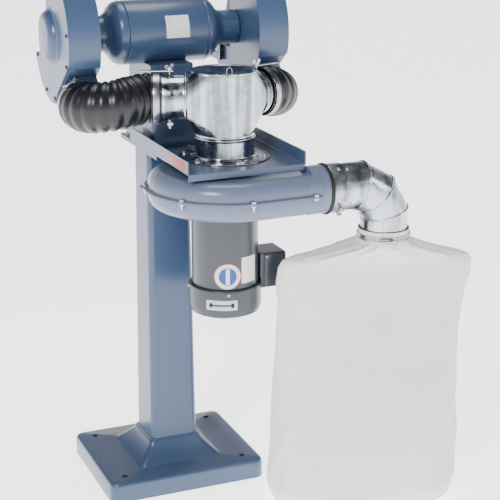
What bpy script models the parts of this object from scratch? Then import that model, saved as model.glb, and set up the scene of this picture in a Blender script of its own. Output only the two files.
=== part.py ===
"""Pedestal bench grinder with a dust collector, as separate solids in one frame (metres, +Z up).

The origin is on the floor under the column's axis. +X is to the right as seen from the dust collector,
-Y is the dust collector's side and +Y is the operator's side.
"""

import math

import bmesh
import bpy
from mathutils import Matrix, Vector

# ---- driving dimensions ----
GAP = 0.0003                # clearance between pieces that touch
SHEET = 0.0030              # formed sheet steel
CASTING = 0.0050            # wall of the cast pieces

BASE_HALF_X = 0.1835
BASE_HALF_Y = 0.1539
BASE_HEIGHT = 0.0450
BASE_HOLE_X = 0.1418        # half the floor bolts' spacing
BASE_HOLE_Y = 0.1170
BASE_HOLE_RADIUS = 0.0065
PYRAMID_HALF = 0.0955
FOOT_OF_COLUMN = 0.0906     # height of the raised middle of the base
COLUMN_HALF_LOW = 0.0550
COLUMN_HALF_HIGH = 0.0484
COLUMN_TOP = 0.7650
COLUMN_WALL = 0.0040
PLATE_HALF_X = 0.0550
PLATE_HALF_Y = 0.1250
PLATE_THICK = 0.0120

SPINDLE_HEIGHT = 1.0180
GRINDER_X = 0.0080
GRINDER_Y = 0.0200
BARREL_RADIUS = 0.0685
BARREL_HALF = 0.0880
NECK_RADIUS = 0.0375
GUARD_RADIUS = 0.1420
GUARD_NEAR = 0.1750         # the guard's inner wall, from the middle of the grinder
GUARD_FAR = 0.2380          # the guard's open side, closed by its cover
CHORD = 0.1180              # from the spindle to the flat where the chute leaves
CHORD_ANGLE = math.radians(234)
WHEEL_RADIUS = 0.1016
WHEEL_WIDTH = 0.0250
WHEEL_NEAR = 0.1930
ARBOR_RADIUS = 0.0079
SHAFT_RADIUS = 0.0095
BEARING_RADIUS = 0.0235
BEARING_WIDTH = 0.0140
BEARING_NEAR = 0.1220
PIVOT_RADIUS = 0.0030       # hinge pins of the rests and the shields
RUNNING = 0.00007           # running clearance of a pin in its hole
REST_PIVOT_Y = 0.1555       # from the spindle
REST_PIVOT_Z = -0.0300
SHIELD_PIVOT_Y = 0.0900
SHIELD_PIVOT_Z = 0.1500
SHIELD_SLOPE = math.radians(-40)

CHUTE_OFFSET = 0.2105       # the chute's centre, from the middle of the grinder
CHUTE_Y = -0.1060
CHUTE_Z = 0.8900
DUCT_RADIUS = 0.0475        # outside of the stubs and the chutes' collars
DUCT_WALL = 0.0015
HOSE_BEND = 0.0530
HOSE_SWING = 0.0530
HOSE_RADIUS = 0.0505
CUFF = 0.0220               # length of a hose's plain end
STUB_ANGLE = math.radians(20)
STUB_Z = 0.9050
REACH = {-1: 0.1500, 1: 0.1200}     # from the manifold's axis to the end of each hose's cuff

MANIFOLD_X = (GRINDER_X + CHUTE_OFFSET - HOSE_BEND * (1 - math.sin(STUB_ANGLE))
              - REACH[1] * math.cos(STUB_ANGLE))
MANIFOLD_Y = CHUTE_Y - HOSE_BEND * math.cos(STUB_ANGLE) - REACH[1] * math.sin(STUB_ANGLE)
LID_Z = 0.9634
LID_RADIUS = 0.0696
COLLAR_RADIUS = 0.0621
COLLAR_TOP = 0.8320
RING_RADIUS = 0.0960
STUB_START = 0.0790
STUB_SHORT = 0.0070         # how far a stub stops short of its hose's cuff end
DAMPER_AT = {-1: 0.1120, 1: 0.0905}  # from the manifold's axis to the damper's shaft
DAMPER_SHAFT = 0.0030
HANDLE_RISE = 0.0072        # the handle's underside above the stub

TRAY_LEFT = -0.0595
TRAY_RIGHT = 0.1985
TRAY_NEAR = -0.3280
TRAY_FAR = 0.0400
TRAY_FLANGE = 0.0266
TRAY_LIP = 0.0110
INTAKE_RADIUS = 0.0550

SEAM_Z = 0.7234
BLOWER_TOP = 0.7620
BLOWER_BOTTOM = 0.6800
SCROLL_SMALL = 0.1120
SCROLL_LARGE = 0.1860
SEAM_FLANGE = 0.0090
PIPE_RADIUS = 0.0510
PIPE_OFFSET = 0.1280        # from the blower's axis to the outlet pipe's axis
OUTLET_X = 0.2360
GASKET = 0.0120
IMPELLER_RADIUS = 0.0950
MOTOR_RADIUS = 0.0714
MOTOR_LOW = 0.5000
FAN_COVER_RADIUS = 0.0783
FAN_COVER_LOW = 0.4410
FAN_COVER_HIGH = 0.5020
MOTOR_SHAFT_RADIUS = 0.0080
CONDUIT_SIZE = (0.0600, 0.0700, 0.0780)

ELBOW_BEND = 0.0860
ELBOW_X = 0.3840
ELBOW_RADIUS = 0.0500
ELBOW_LOW = 0.5900
BAND_Z = 0.6104
BAND_HALF = 0.0065
BAG_HALF_WIDTH = 0.2090
BAG_SHIFT = -0.0310         # from the neck's axis to the bag's middle, along its width
BAG_TURN = math.radians(-14.5)
BAG_HALF_DEPTH = 0.1200
BAG_SHOULDER = 0.5650
BAG_CLOTH = 0.0040
BAG_CLEAR = 0.0030          # the bag's lowest point above the floor

BLUE = (0.052, 0.106, 0.211)
BLOWER_BLUE = (0.275, 0.319, 0.451)
MOTOR_GREY = (0.107, 0.130, 0.162)
STEEL = (0.62, 0.63, 0.65)
ZINC = (0.56, 0.58, 0.60)
RUBBER = (0.012, 0.012, 0.013)
CLOTH = (0.78, 0.77, 0.75)
STONE = (0.30, 0.30, 0.31)
CLEAR = (0.80, 0.88, 0.90)
BRASS = (0.45, 0.20, 0.08)
RED = (0.50, 0.02, 0.02)

ROUND = 20
SMALL_ROUND = 10
PIN_ROUND = 24
BARREL_ROUND = 28
GUARD_STEPS = 22
BAG_ROUND = 24


# ---- helpers ----
def clear_scene():
    """Remove every object that the file opened with."""
    for old in list(bpy.data.objects):
        bpy.data.objects.remove(old, do_unlink=True)


def material(name, colour, roughness, metallic=0.0):
    """One Principled material."""
    made = bpy.data.materials.new(name)
    made.use_nodes = True
    shader = made.node_tree.nodes["Principled BSDF"]
    shader.inputs["Base Color"].default_value = (*colour, 1.0)
    shader.inputs["Roughness"].default_value = roughness
    shader.inputs["Metallic"].default_value = metallic
    return made


def place(name, bm, look, origin=(0, 0, 0), cutter=False):
    """Turn a bmesh in local coordinates into an object at origin."""
    bmesh.ops.remove_doubles(bm, verts=bm.verts, dist=1e-6)
    bmesh.ops.recalc_face_normals(bm, faces=bm.faces)
    mesh = bpy.data.meshes.new(name)
    bm.to_mesh(mesh)
    bm.free()
    mesh.shade_smooth()
    mesh.set_sharp_from_angle(angle=math.radians(35))
    made = bpy.data.objects.new(name, mesh)
    bpy.context.scene.collection.objects.link(made)
    made.location = origin
    if cutter:
        made.hide_render = True
        made.display_type = "WIRE"
    else:
        mesh.materials.append(material(name, *look))
    return made


def combine(target, other, operation):
    """Add an exact Boolean of another object to the target."""
    step = target.modifiers.new(operation.lower(), "BOOLEAN")
    step.operation = operation
    step.solver = "EXACT"
    step.object = other
    other.hide_render = True
    other.display_type = "WIRE"


def weld(target):
    """Merge the doubled points that a chain of Booleans leaves on a piece."""
    step = target.modifiers.new("weld", "WELD")
    step.merge_threshold = 0.00001


def axis_turn(axis):
    """The turn that takes +Z onto an axis direction."""
    return Vector((0, 0, 1)).rotation_difference(Vector(axis)).to_matrix().to_4x4()


def turned(profile, axis=(0, 0, 1), centre=(0, 0, 0), steps=ROUND, closed=False):
    """A profile of (radius, distance along the axis) points, spun about the axis."""
    bm = bmesh.new()
    points = [bm.verts.new((radius, 0, along)) for radius, along in profile]
    pairs = list(zip(points, points[1:]))
    if closed:
        pairs.append((points[-1], points[0]))
    edges = [bm.edges.new(pair) for pair in pairs]
    bmesh.ops.spin(bm, geom=points + edges, angle=math.tau, steps=steps, axis=(0, 0, 1),
                   cent=(0, 0, 0), use_merge=True)
    bmesh.ops.remove_doubles(bm, verts=bm.verts, dist=1e-6)
    bmesh.ops.transform(bm, matrix=Matrix.Translation(centre) @ axis_turn(axis), verts=bm.verts)
    return bm


def rod(radius, start, end, axis=(0, 0, 1), centre=(0, 0, 0), steps=ROUND):
    """A solid cylinder along an axis, from start to end."""
    return turned([(0, start), (radius, start), (radius, end), (0, end)], axis, centre, steps)


def ring(inner, outer, start, end, axis=(0, 0, 1), centre=(0, 0, 0), steps=ROUND):
    """A cylinder with a bore."""
    profile = [(inner, start), (outer, start), (outer, end), (inner, end)]
    return turned(profile, axis, centre, steps, closed=True)


def block(low, high, edge=0.0):
    """A box between two corners, with bevelled edges."""
    bm = bmesh.new()
    bmesh.ops.create_cube(bm, size=1.0)
    size = [b - a for a, b in zip(low, high)]
    middle = [(a + b) / 2 for a, b in zip(low, high)]
    bmesh.ops.scale(bm, vec=size, verts=bm.verts)
    if edge:
        bmesh.ops.bevel(bm, geom=list(bm.edges), offset=edge, segments=2, profile=0.5,
                        affect="EDGES", clamp_overlap=True, material=-1)
    bmesh.ops.translate(bm, vec=middle, verts=bm.verts)
    return bm


def loft(rings, closed=False):
    """Skin equal rings of points in order, with end caps or closed into a loop."""
    bm = bmesh.new()
    loops = [[bm.verts.new(point) for point in points] for points in rings]
    count = len(loops[0])
    pairs = list(zip(loops, loops[1:]))
    if closed:
        pairs.append((loops[-1], loops[0]))
    for lower, upper in pairs:
        for index in range(count):
            after = (index + 1) % count
            bm.faces.new((lower[index], lower[after], upper[after], upper[index]))
    if not closed:
        bm.faces.new(loops[0])
        bm.faces.new(loops[-1])
    return bm


def prism(outline, low, high, place_point):
    """A flat outline of (u, v) points carried from low to high."""
    return loft([[place_point(u, v, level) for u, v in outline] for level in (low, high)])


def rounded_rectangle(half_u, half_v, radius, steps=3):
    """The points of a rectangle with round corners, anticlockwise."""
    points = []
    for corner, (sign_u, sign_v) in enumerate(((1, 1), (-1, 1), (-1, -1), (1, -1))):
        for step in range(steps + 1):
            angle = math.radians(90 * corner + 90 * step / steps)
            points.append((sign_u * (half_u - radius) + radius * math.cos(angle),
                           sign_v * (half_v - radius) + radius * math.sin(angle)))
    return points


def level_ring(half_x, half_y, radius, height, centre=(0, 0)):
    """A rounded rectangle lying flat at a height."""
    outline = rounded_rectangle(half_x, half_y, radius)
    return [(centre[0] + x, centre[1] + y, height) for x, y in outline]


def circle(centre, radius, across, up, steps=ROUND):
    """A circle about a centre in the plane of two unit directions."""
    centre, across, up = Vector(centre), Vector(across), Vector(up)
    return [centre + radius * (math.cos(math.tau * step / steps) * across
                               + math.sin(math.tau * step / steps) * up) for step in range(steps)]


def join_parts(parts):
    """Several separate closed bmeshes in one, for use as a Boolean's second object."""
    whole = bmesh.new()
    for part in parts:
        scrap = bpy.data.meshes.new("scrap")
        part.to_mesh(scrap)
        part.free()
        whole.from_mesh(scrap)
        bpy.data.meshes.remove(scrap)
    return whole


# ---- pedestal ----
def pedestal():
    """Cast base, tapered column, top plate and the tray that carries the dust collector."""
    rim = 0.006
    outside = [level_ring(BASE_HALF_X, BASE_HALF_Y, 0.020, 0.0),
               level_ring(BASE_HALF_X, BASE_HALF_Y, 0.020, BASE_HEIGHT - rim),
               level_ring(BASE_HALF_X - rim, BASE_HALF_Y - rim, 0.016, BASE_HEIGHT),
               level_ring(PYRAMID_HALF, PYRAMID_HALF, 0.010, BASE_HEIGHT + 0.001),
               level_ring(COLUMN_HALF_LOW + 0.004, COLUMN_HALF_LOW + 0.004, 0.012, FOOT_OF_COLUMN)]
    base = place("pedestal_base", loft(outside), (BLUE, 0.38))
    wall = 0.012
    hollow = block((-BASE_HALF_X + wall, -BASE_HALF_Y + wall, -0.01),
                   (BASE_HALF_X - wall, BASE_HALF_Y - wall, BASE_HEIGHT - wall))
    combine(base, place("base_hollow", hollow, None, cutter=True), "DIFFERENCE")
    pads = [rod(0.020, 0.0, BASE_HEIGHT - 0.006, centre=(x * BASE_HOLE_X, y * BASE_HOLE_Y, 0),
                steps=SMALL_ROUND) for x in (-1, 1) for y in (-1, 1)]
    pads.append(rod(0.030, 0.0, BASE_HEIGHT - 0.006))
    combine(base, place("base_pads", join_parts(pads), None, cutter=True), "UNION")
    holes = [rod(BASE_HOLE_RADIUS, -0.01, BASE_HEIGHT + 0.01, steps=SMALL_ROUND,
                 centre=(x * BASE_HOLE_X, y * BASE_HOLE_Y, 0)) for x in (-1, 1) for y in (-1, 1)]
    combine(base, place("base_holes", join_parts(holes), None, cutter=True), "DIFFERENCE")
    weld(base)

    foot, inner = FOOT_OF_COLUMN + GAP, COLUMN_WALL
    shell = [level_ring(COLUMN_HALF_LOW, COLUMN_HALF_LOW, 0.012, foot),
             level_ring(COLUMN_HALF_HIGH, COLUMN_HALF_HIGH, 0.012, COLUMN_TOP),
             level_ring(COLUMN_HALF_HIGH - inner, COLUMN_HALF_HIGH - inner, 0.008, COLUMN_TOP),
             level_ring(COLUMN_HALF_LOW - inner, COLUMN_HALF_LOW - inner, 0.008, foot)]
    place("pedestal_column", loft(shell, closed=True), (BLUE, 0.36))

    plate_low = COLUMN_TOP + GAP
    plate = place("pedestal_top_plate", block((-PLATE_HALF_X, -PLATE_HALF_Y, plate_low),
                                              (PLATE_HALF_X, PLATE_HALF_Y, plate_low + PLATE_THICK),
                                              0.002), (BLUE, 0.36))
    wiring = rod(0.018, plate_low - 0.01, plate_low + PLATE_THICK + 0.01, steps=SMALL_ROUND)
    combine(plate, place("plate_wiring_hole", wiring, None, cutter=True), "DIFFERENCE")


def tray_floor():
    """Height of the tray's underside."""
    return COLUMN_TOP + PLATE_THICK + 2 * GAP


def tray():
    """Folded tray: flanges up at both sides, a short lip down at the near edge."""
    low = tray_floor()
    top = low + SHEET
    section = [(TRAY_LEFT, low), (TRAY_RIGHT, low), (TRAY_RIGHT, top + TRAY_FLANGE),
               (TRAY_RIGHT - SHEET, top + TRAY_FLANGE), (TRAY_RIGHT - SHEET, top),
               (TRAY_LEFT + SHEET, top), (TRAY_LEFT + SHEET, top + TRAY_FLANGE),
               (TRAY_LEFT, top + TRAY_FLANGE)]
    body = place("support_tray", prism(section, TRAY_NEAR, TRAY_FAR, lambda u, v, y: (u, y, v)),
                 (BLUE, 0.34))
    lip = block((TRAY_LEFT, TRAY_NEAR, low - TRAY_LIP), (TRAY_RIGHT, TRAY_NEAR + SHEET, low + 0.001))
    combine(body, place("tray_lip", lip, None, cutter=True), "UNION")
    holes = [rod(INTAKE_RADIUS, low - 0.01, top + 0.01, centre=(MANIFOLD_X, MANIFOLD_Y, 0)),
             rod(0.018, low - 0.01, top + 0.01, steps=SMALL_ROUND)]
    combine(body, place("tray_holes", join_parts(holes), None, cutter=True), "DIFFERENCE")


# ---- grinder ----
def spindle_point(x, y=0.0, z=0.0):
    """A point given from the middle of the spindle."""
    return (GRINDER_X + x, GRINDER_Y + y, SPINDLE_HEIGHT + z)


def spun(profile, closed=False, steps=ROUND):
    """A profile of (radius, distance to the right of the middle) spun about the spindle's line."""
    return turned(profile, axis=(1, 0, 0), centre=spindle_point(0), steps=steps, closed=closed)


def sided(profile, side):
    """The same profile on the left or the right of the grinder."""
    return [(radius, side * along) for radius, along in profile]


def foot():
    """Hollow box under the barrel, with a saddle that the barrel sits in."""
    low = tray_floor() + SHEET + GAP
    top = SPINDLE_HEIGHT - BARREL_RADIUS + 0.0075
    middle = (GRINDER_X, GRINDER_Y)
    skirt = [level_ring(0.0550, 0.0950, 0.010, low, middle),
             level_ring(0.0550, 0.0950, 0.010, low + 0.012, middle),
             level_ring(0.0500, 0.0840, 0.010, low + 0.022, middle),
             level_ring(0.0480, 0.0820, 0.010, top, middle)]
    body = place("grinder_foot", loft(skirt), (BLUE, 0.36))
    room = loft([level_ring(0.0440, 0.0770, 0.006, low - 0.01, middle),
                 level_ring(0.0430, 0.0760, 0.006, top - 0.022, middle)])
    combine(body, place("foot_room", room, None, cutter=True), "DIFFERENCE")
    saddle_radius = BARREL_RADIUS + GAP
    saddle = spun([(0, -0.1), (saddle_radius, -0.1), (saddle_radius, 0.1), (0, 0.1)], steps=BARREL_ROUND)
    combine(body, place("foot_saddle", saddle, None, cutter=True), "DIFFERENCE")

    front = GRINDER_Y + 0.0840 + 0.004
    centre_z = low + 0.085
    opening = block((GRINDER_X - 0.0115, front - 0.040, centre_z - 0.021),
                    (GRINDER_X + 0.0115, front + 0.010, centre_z + 0.021))
    combine(body, place("switch_opening", opening, None, cutter=True), "DIFFERENCE")
    plate = place("switch_plate", block((GRINDER_X - 0.030, front, centre_z - 0.040),
                                        (GRINDER_X + 0.030, front + 0.004, centre_z + 0.040), 0.0015),
                  (STEEL, 0.35, 0.9))
    window = block((GRINDER_X - 0.010, front - 0.01, centre_z - 0.016),
                   (GRINDER_X + 0.010, front + 0.01, centre_z + 0.016))
    combine(plate, place("switch_window", window, None, cutter=True), "DIFFERENCE")
    rocker = [(-0.0090, -0.0130), (0.0, -0.0150), (0.0020, -0.0150), (0.0060, 0.0), (0.0080, 0.0150),
              (0.0, 0.0150), (-0.0090, 0.0130)]
    place("switch_toggle", prism(rocker, -0.0085, 0.0085, lambda u, v, x: (x, u, v)), (RED, 0.4),
          origin=(GRINDER_X, front + 0.0015, centre_z))


def motor():
    """Barrel, end bells, stator, rotor, shaft and bearings along the spindle's line."""
    wall = 0.004
    def sleeve(inner, outer, half_length):
        profile = [(inner, -half_length), (outer, -half_length), (outer, half_length), (inner, half_length)]
        return spun(profile, closed=True, steps=BARREL_ROUND)

    place("motor_barrel", sleeve(BARREL_RADIUS - wall, BARREL_RADIUS, BARREL_HALF), (BLUE, 0.34))
    place("stator", sleeve(0.0420, BARREL_RADIUS - wall - GAP, 0.045), (BRASS, 0.4, 0.7))
    place("rotor", sleeve(0.0110 + GAP, 0.0410, 0.045), (STEEL, 0.4, 0.9))
    half = [(0.0110, 0.100), (SHAFT_RADIUS + 0.0005, 0.100), (SHAFT_RADIUS + 0.0005, 0.140),
            (SHAFT_RADIUS, 0.140), (SHAFT_RADIUS, 0.1862), (ARBOR_RADIUS, 0.1862), (ARBOR_RADIUS, 0.2365)]
    profile = [(0, -0.2365)] + sided(half[::-1], -1) + half + [(0, 0.2365)]
    place("arbor_shaft", spun(profile), (STEEL, 0.25, 1.0))
    for side, label in ((-1, "left"), (1, "right")):
        start = BARREL_HALF + GAP
        neck_end = GUARD_NEAR - GAP
        bell = [(BARREL_RADIUS, start), (BARREL_RADIUS - 0.0015, start + 0.010),
                (BARREL_RADIUS - 0.008, start + 0.021), (NECK_RADIUS + 0.010, start + 0.034),
                (NECK_RADIUS, start + 0.046), (NECK_RADIUS, neck_end), (0.0130, neck_end),
                (0.0130, BEARING_NEAR + BEARING_WIDTH + GAP),
                (BEARING_RADIUS + GAP, BEARING_NEAR + BEARING_WIDTH + GAP),
                (BEARING_RADIUS + GAP, BEARING_NEAR - 0.002), (NECK_RADIUS + 0.004, start + 0.031),
                (BARREL_RADIUS - 0.012, start + 0.018), (BARREL_RADIUS - 0.006, start)]
        place(label + "_end_bell", spun(sided(bell, side), closed=True), (BLUE, 0.36))
        hub = SHAFT_RADIUS + 0.0005 + GAP
        bearing = [(hub, BEARING_NEAR), (BEARING_RADIUS, BEARING_NEAR),
                   (BEARING_RADIUS, BEARING_NEAR + BEARING_WIDTH), (hub, BEARING_NEAR + BEARING_WIDTH)]
        place(label + "_bearing", spun(sided(bearing, side), closed=True), (STEEL, 0.2, 1.0))


def guard_outline(radius, chord):
    """The guard's side outline, a circle with a flat where the chute leaves, from the spindle."""
    half = math.acos(chord / radius)
    start = CHORD_ANGLE + half
    sweep = math.tau - 2 * half
    turns = [start + sweep * step / GUARD_STEPS for step in range(GUARD_STEPS + 1)]
    return [(radius * math.cos(turn), radius * math.sin(turn)) for turn in turns]


def side_x(side, distance):
    """World X at a distance from the grinder's middle, on one side."""
    return GRINDER_X + side * distance


def chute_parts(side, radius, half_width, half_length, chord, start_y, end_y):
    """The chute: a hull from a rectangle on the guard's flat to a circle, and the collar beyond it."""
    normal = Vector((0, math.cos(CHORD_ANGLE), math.sin(CHORD_ANGLE)))
    along = Vector((0, normal.z, -normal.y))
    across = Vector((1, 0, 0))
    middle = Vector(spindle_point(side * (GUARD_NEAR + GUARD_FAR) / 2)) + chord * normal
    mouth = [middle + u * half_width * across + v * half_length * along
             for u, v in ((1, 0.7), (-1, 0.7), (-1, -1), (1, -1))]
    centre = (side_x(side, CHUTE_OFFSET), 0, CHUTE_Z)
    outlet = circle((centre[0], start_y, CHUTE_Z), radius + 0.0010, across, (0, 0, 1))
    return hull([mouth, outlet]), rod(radius, -start_y - 0.005, -end_y, axis=(0, -1, 0), centre=centre)


def guard(side, label):
    """Wheel guard with its chute, and the flat cover with a domed middle."""
    def put(u, v, x):
        return (x, GRINDER_Y + u, SPINDLE_HEIGHT + v)

    low, high = sorted((side_x(side, GUARD_NEAR), side_x(side, GUARD_FAR)))
    body = place(label + "_wheel_guard", prism(guard_outline(GUARD_RADIUS, CHORD), low, high, put),
                 (BLUE, 0.38))
    half_width = (GUARD_FAR - GUARD_NEAR) / 2
    chute_end = CHUTE_Y + 0.002
    boot, collar = chute_parts(side, DUCT_RADIUS, half_width - 0.001, 0.060, CHORD - 0.003,
                               CHUTE_Y + CUFF + 0.004, chute_end)
    combine(body, place(label + "_boot", boot, None, cutter=True), "UNION")
    combine(body, place(label + "_collar", collar, None, cutter=True), "UNION")
    cavity_low, cavity_high = sorted((side_x(side, GUARD_NEAR + CASTING), side_x(side, GUARD_FAR + 0.01)))
    cavity = prism(guard_outline(GUARD_RADIUS - CASTING, CHORD - CASTING), cavity_low, cavity_high, put)
    combine(body, place(label + "_cavity", cavity, None, cutter=True), "DIFFERENCE")
    boot, collar = chute_parts(side, DUCT_RADIUS - 0.0035, half_width - 0.0065, 0.0520, CHORD - 0.012,
                               CHUTE_Y + CUFF + 0.0075, chute_end - 0.01)
    combine(body, place(label + "_boot_room", boot, None, cutter=True), "DIFFERENCE")
    combine(body, place(label + "_collar_bore", collar, None, cutter=True), "DIFFERENCE")
    bore = spun(sided([(0, 0.16), (0.0130, 0.16), (0.0130, 0.19), (0, 0.19)], side))
    combine(body, place(label + "_shaft_hole", bore, None, cutter=True), "DIFFERENCE")
    mouth_low, mouth_high = sorted((side_x(side, 0.16), side_x(side, 0.30)))
    mouth = block((mouth_low, GRINDER_Y + 0.030, SPINDLE_HEIGHT - 0.050),
                  (mouth_high, GRINDER_Y + 0.20, SPINDLE_HEIGHT + 0.20))
    mouth_cutter = place(label + "_mouth", mouth, None, cutter=True)
    combine(body, mouth_cutter, "DIFFERENCE")
    weld(body)

    near, far = GUARD_FAR + GAP, GUARD_FAR + CASTING
    low, high = sorted((side_x(side, near), side_x(side, far)))
    outline = guard_outline(GUARD_RADIUS, CHORD - 0.004)
    cover = place(label + "_guard_cover", prism(outline, low, high, put), (BLUE, 0.36))
    combine(cover, mouth_cutter, "DIFFERENCE")
    dome = [(0.0580, near), (0.0580, far), (0.0540, far + 0.010), (0.0440, far + 0.017),
            (0, far + 0.020)]
    hollow = [(0.0, near - 0.01), (0.0540, near - 0.01), (0.0540, far - 0.001),
              (0.0500, far + 0.007), (0.0410, far + 0.013), (0, far + 0.016)]
    combine(cover, place(label + "_dome", spun([(0, side * near)] + sided(dome, side)), None,
                         cutter=True), "UNION")
    combine(cover, place(label + "_dome_room", spun(sided(hollow, side)), None, cutter=True),
            "DIFFERENCE")
    weld(cover)


def wheel_set(side, label):
    """Wheel, its two flanges and the nut on the arbor."""
    hub = ARBOR_RADIUS + GAP
    far = WHEEL_NEAR + WHEEL_WIDTH
    inner = [(hub, 0.1866), (0.0360, 0.1866), (0.0360, WHEEL_NEAR - GAP), (hub, WHEEL_NEAR - GAP)]
    place(label + "_inner_flange", spun(sided(inner, side), closed=True), (STEEL, 0.4, 0.9))
    stone = [(hub, WHEEL_NEAR), (WHEEL_RADIUS, WHEEL_NEAR), (WHEEL_RADIUS, far), (hub, far)]
    place(label + "_grinding_wheel", spun(sided(stone, side), closed=True, steps=BARREL_ROUND),
          (STONE, 0.95))
    outer = [(hub, far + GAP), (0.0360, far + GAP), (0.0360, far + 0.003), (0.0200, far + 0.0065),
             (hub, far + 0.0065)]
    place(label + "_outer_flange", spun(sided(outer, side), closed=True), (STEEL, 0.4, 0.9))
    hexagon = spun(sided([(0, far + 0.0068), (0.0140, far + 0.0068), (0.0140, far + 0.0168),
                          (0, far + 0.0168)], side), steps=6)
    nut = place(label + "_arbor_nut", hexagon, (STEEL, 0.35, 0.9))
    thread = spun(sided([(0, far), (hub, far), (hub, far + 0.03), (0, far + 0.03)], side))
    combine(nut, place(label + "_nut_thread", thread, None, cutter=True), "DIFFERENCE")


def tool_rest(side, label):
    """Sliding arm beside the guard and the table that tilts on its lug."""
    def span(near, far, y_low, y_high, z_low, z_high, edge=0.0):
        low, high = sorted((side_x(side, near), side_x(side, far)))
        return block((low, GRINDER_Y + y_low, SPINDLE_HEIGHT + z_low),
                     (high, GRINDER_Y + y_high, SPINDLE_HEIGHT + z_high), edge)

    arm = place(label + "_rest_arm", span(0.1665, 0.1725, 0.070, 0.1655, -0.085, -0.047), (BLUE, 0.4))
    bar = span(0.1700, 0.2130, 0.1460, 0.1650, -0.066, -0.048)
    combine(arm, place(label + "_rest_bar", bar, None, cutter=True), "UNION")
    lug = span(0.1890, 0.2030, 0.1470, 0.1640, -0.050, -0.020)
    combine(arm, place(label + "_rest_lug", lug, None, cutter=True), "UNION")
    hole = rod(PIVOT_RADIUS + RUNNING, 0.15, 0.26, axis=(side, 0, 0), steps=PIN_ROUND,
               centre=spindle_point(0, REST_PIVOT_Y, REST_PIVOT_Z))
    combine(arm, place(label + "_rest_hole", hole, None, cutter=True), "DIFFERENCE")
    slot = span(0.15, 0.18, 0.084, 0.132, -0.070, -0.062)
    combine(arm, place(label + "_rest_slot", slot, None, cutter=True), "DIFFERENCE")

    origin = spindle_point(side * 0.1960, REST_PIVOT_Y, REST_PIVOT_Z)
    shift = Matrix.Translation(-Vector(origin))
    top = span(0.1640, 0.2180, 0.1060, 0.1640, -0.0120, -0.0050)
    bmesh.ops.transform(top, matrix=shift, verts=top.verts)
    table = place(label + "_rest_table", top, (BLUE, 0.4), origin=origin)
    ears = join_parts([span(0.1780, 0.1885, 0.1470, 0.1640, -0.0370, -0.0100),
                       span(0.2035, 0.2140, 0.1470, 0.1640, -0.0370, -0.0100)])
    combine(table, place(label + "_rest_ears", ears, None, cutter=True), "UNION")
    pin = rod(PIVOT_RADIUS, 0.1800, 0.2120, axis=(side, 0, 0), steps=PIN_ROUND,
              centre=spindle_point(0, REST_PIVOT_Y, REST_PIVOT_Z))
    combine(table, place(label + "_rest_pin", pin, None, cutter=True), "UNION")


def eye_shield(side, label):
    """Bracket on top of the guard and the clear shield that tilts on it."""
    def span(near, far, y_low, y_high, z_low, z_high):
        low, high = sorted((side_x(side, near), side_x(side, far)))
        return block((low, GRINDER_Y + y_low, SPINDLE_HEIGHT + z_low),
                     (high, GRINDER_Y + y_high, SPINDLE_HEIGHT + z_high))

    top = GUARD_RADIUS + GAP
    bracket = place(label + "_shield_bracket", span(0.2010, 0.2120, -0.0200, 0.0780, top, top + 0.0060),
                    (STEEL, 0.4, 0.9))
    boss = rod(0.0070, 0.2010, 0.2120, axis=(side, 0, 0), steps=SMALL_ROUND,
               centre=spindle_point(0, SHIELD_PIVOT_Y, SHIELD_PIVOT_Z))
    neck = span(0.2010, 0.2120, 0.0700, 0.0880, top, top + 0.0080)
    combine(bracket, place(label + "_shield_neck", neck, None, cutter=True), "UNION")
    combine(bracket, place(label + "_shield_boss", boss, None, cutter=True), "UNION")
    hole = rod(PIVOT_RADIUS + RUNNING, 0.19, 0.22, axis=(side, 0, 0), steps=PIN_ROUND,
               centre=spindle_point(0, SHIELD_PIVOT_Y, SHIELD_PIVOT_Z))
    combine(bracket, place(label + "_shield_hole", hole, None, cutter=True), "DIFFERENCE")

    origin = spindle_point(side * 0.2065, SHIELD_PIVOT_Y, SHIELD_PIVOT_Z)
    pane = block((-0.0480, 0.0120, -0.0015), (0.0480, 0.1250, 0.0015))
    shield = place(label + "_eye_shield", pane, (CLEAR, 0.1), origin=origin)
    ears = join_parts([block((-0.0110, -0.0060, -0.0050), (-0.0058, 0.0200, 0.0050)),
                       block((0.0058, -0.0060, -0.0050), (0.0110, 0.0200, 0.0050))])
    pin = rod(PIVOT_RADIUS, -0.0100, 0.0100, axis=(1, 0, 0), steps=PIN_ROUND)
    for part_name, part in (("_shield_ears", ears), ("_shield_pin", pin)):
        tool = place(label + part_name, part, None, origin=origin, cutter=True)
        tool.rotation_euler = (SHIELD_SLOPE, 0, 0)
        combine(shield, tool, "UNION")
    shield.rotation_euler = (SHIELD_SLOPE, 0, 0)


# ---- dust collector ----
def stub_direction(side):
    """The way an inlet stub leaves the manifold."""
    return Vector((side * math.cos(STUB_ANGLE), math.sin(STUB_ANGLE), 0))


def stub_point(side, distance):
    """A point on a stub's axis."""
    return Vector((MANIFOLD_X, MANIFOLD_Y, STUB_Z)) + distance * stub_direction(side)


def hull(rings):
    """The convex skin over several rings of points."""
    bm = bmesh.new()
    for points in rings:
        for point in points:
            bm.verts.new(point)
    made = bmesh.ops.convex_hull(bm, input=bm.verts)
    loose = [item for item in made["geom_interior"] if isinstance(item, bmesh.types.BMVert)]
    bmesh.ops.delete(bm, geom=loose, context="VERTS")
    return bm


def manifold_skin(inset, low, high, reach):
    """The manifold's folded body as a hull of its top, bottom and two inlet circles."""
    east, north, up = (1, 0, 0), (0, 1, 0), (0, 0, 1)
    rings = [circle((MANIFOLD_X, MANIFOLD_Y, high), LID_RADIUS - 0.004 - inset, east, north),
             circle((MANIFOLD_X, MANIFOLD_Y, low), COLLAR_RADIUS - 0.001 - inset, east, north)]
    for side in (-1, 1):
        across = Vector((-math.sin(STUB_ANGLE), side * math.cos(STUB_ANGLE), 0))
        rings.append(circle(stub_point(side, reach), DUCT_RADIUS - inset, across, up))
    return hull(rings)


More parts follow.
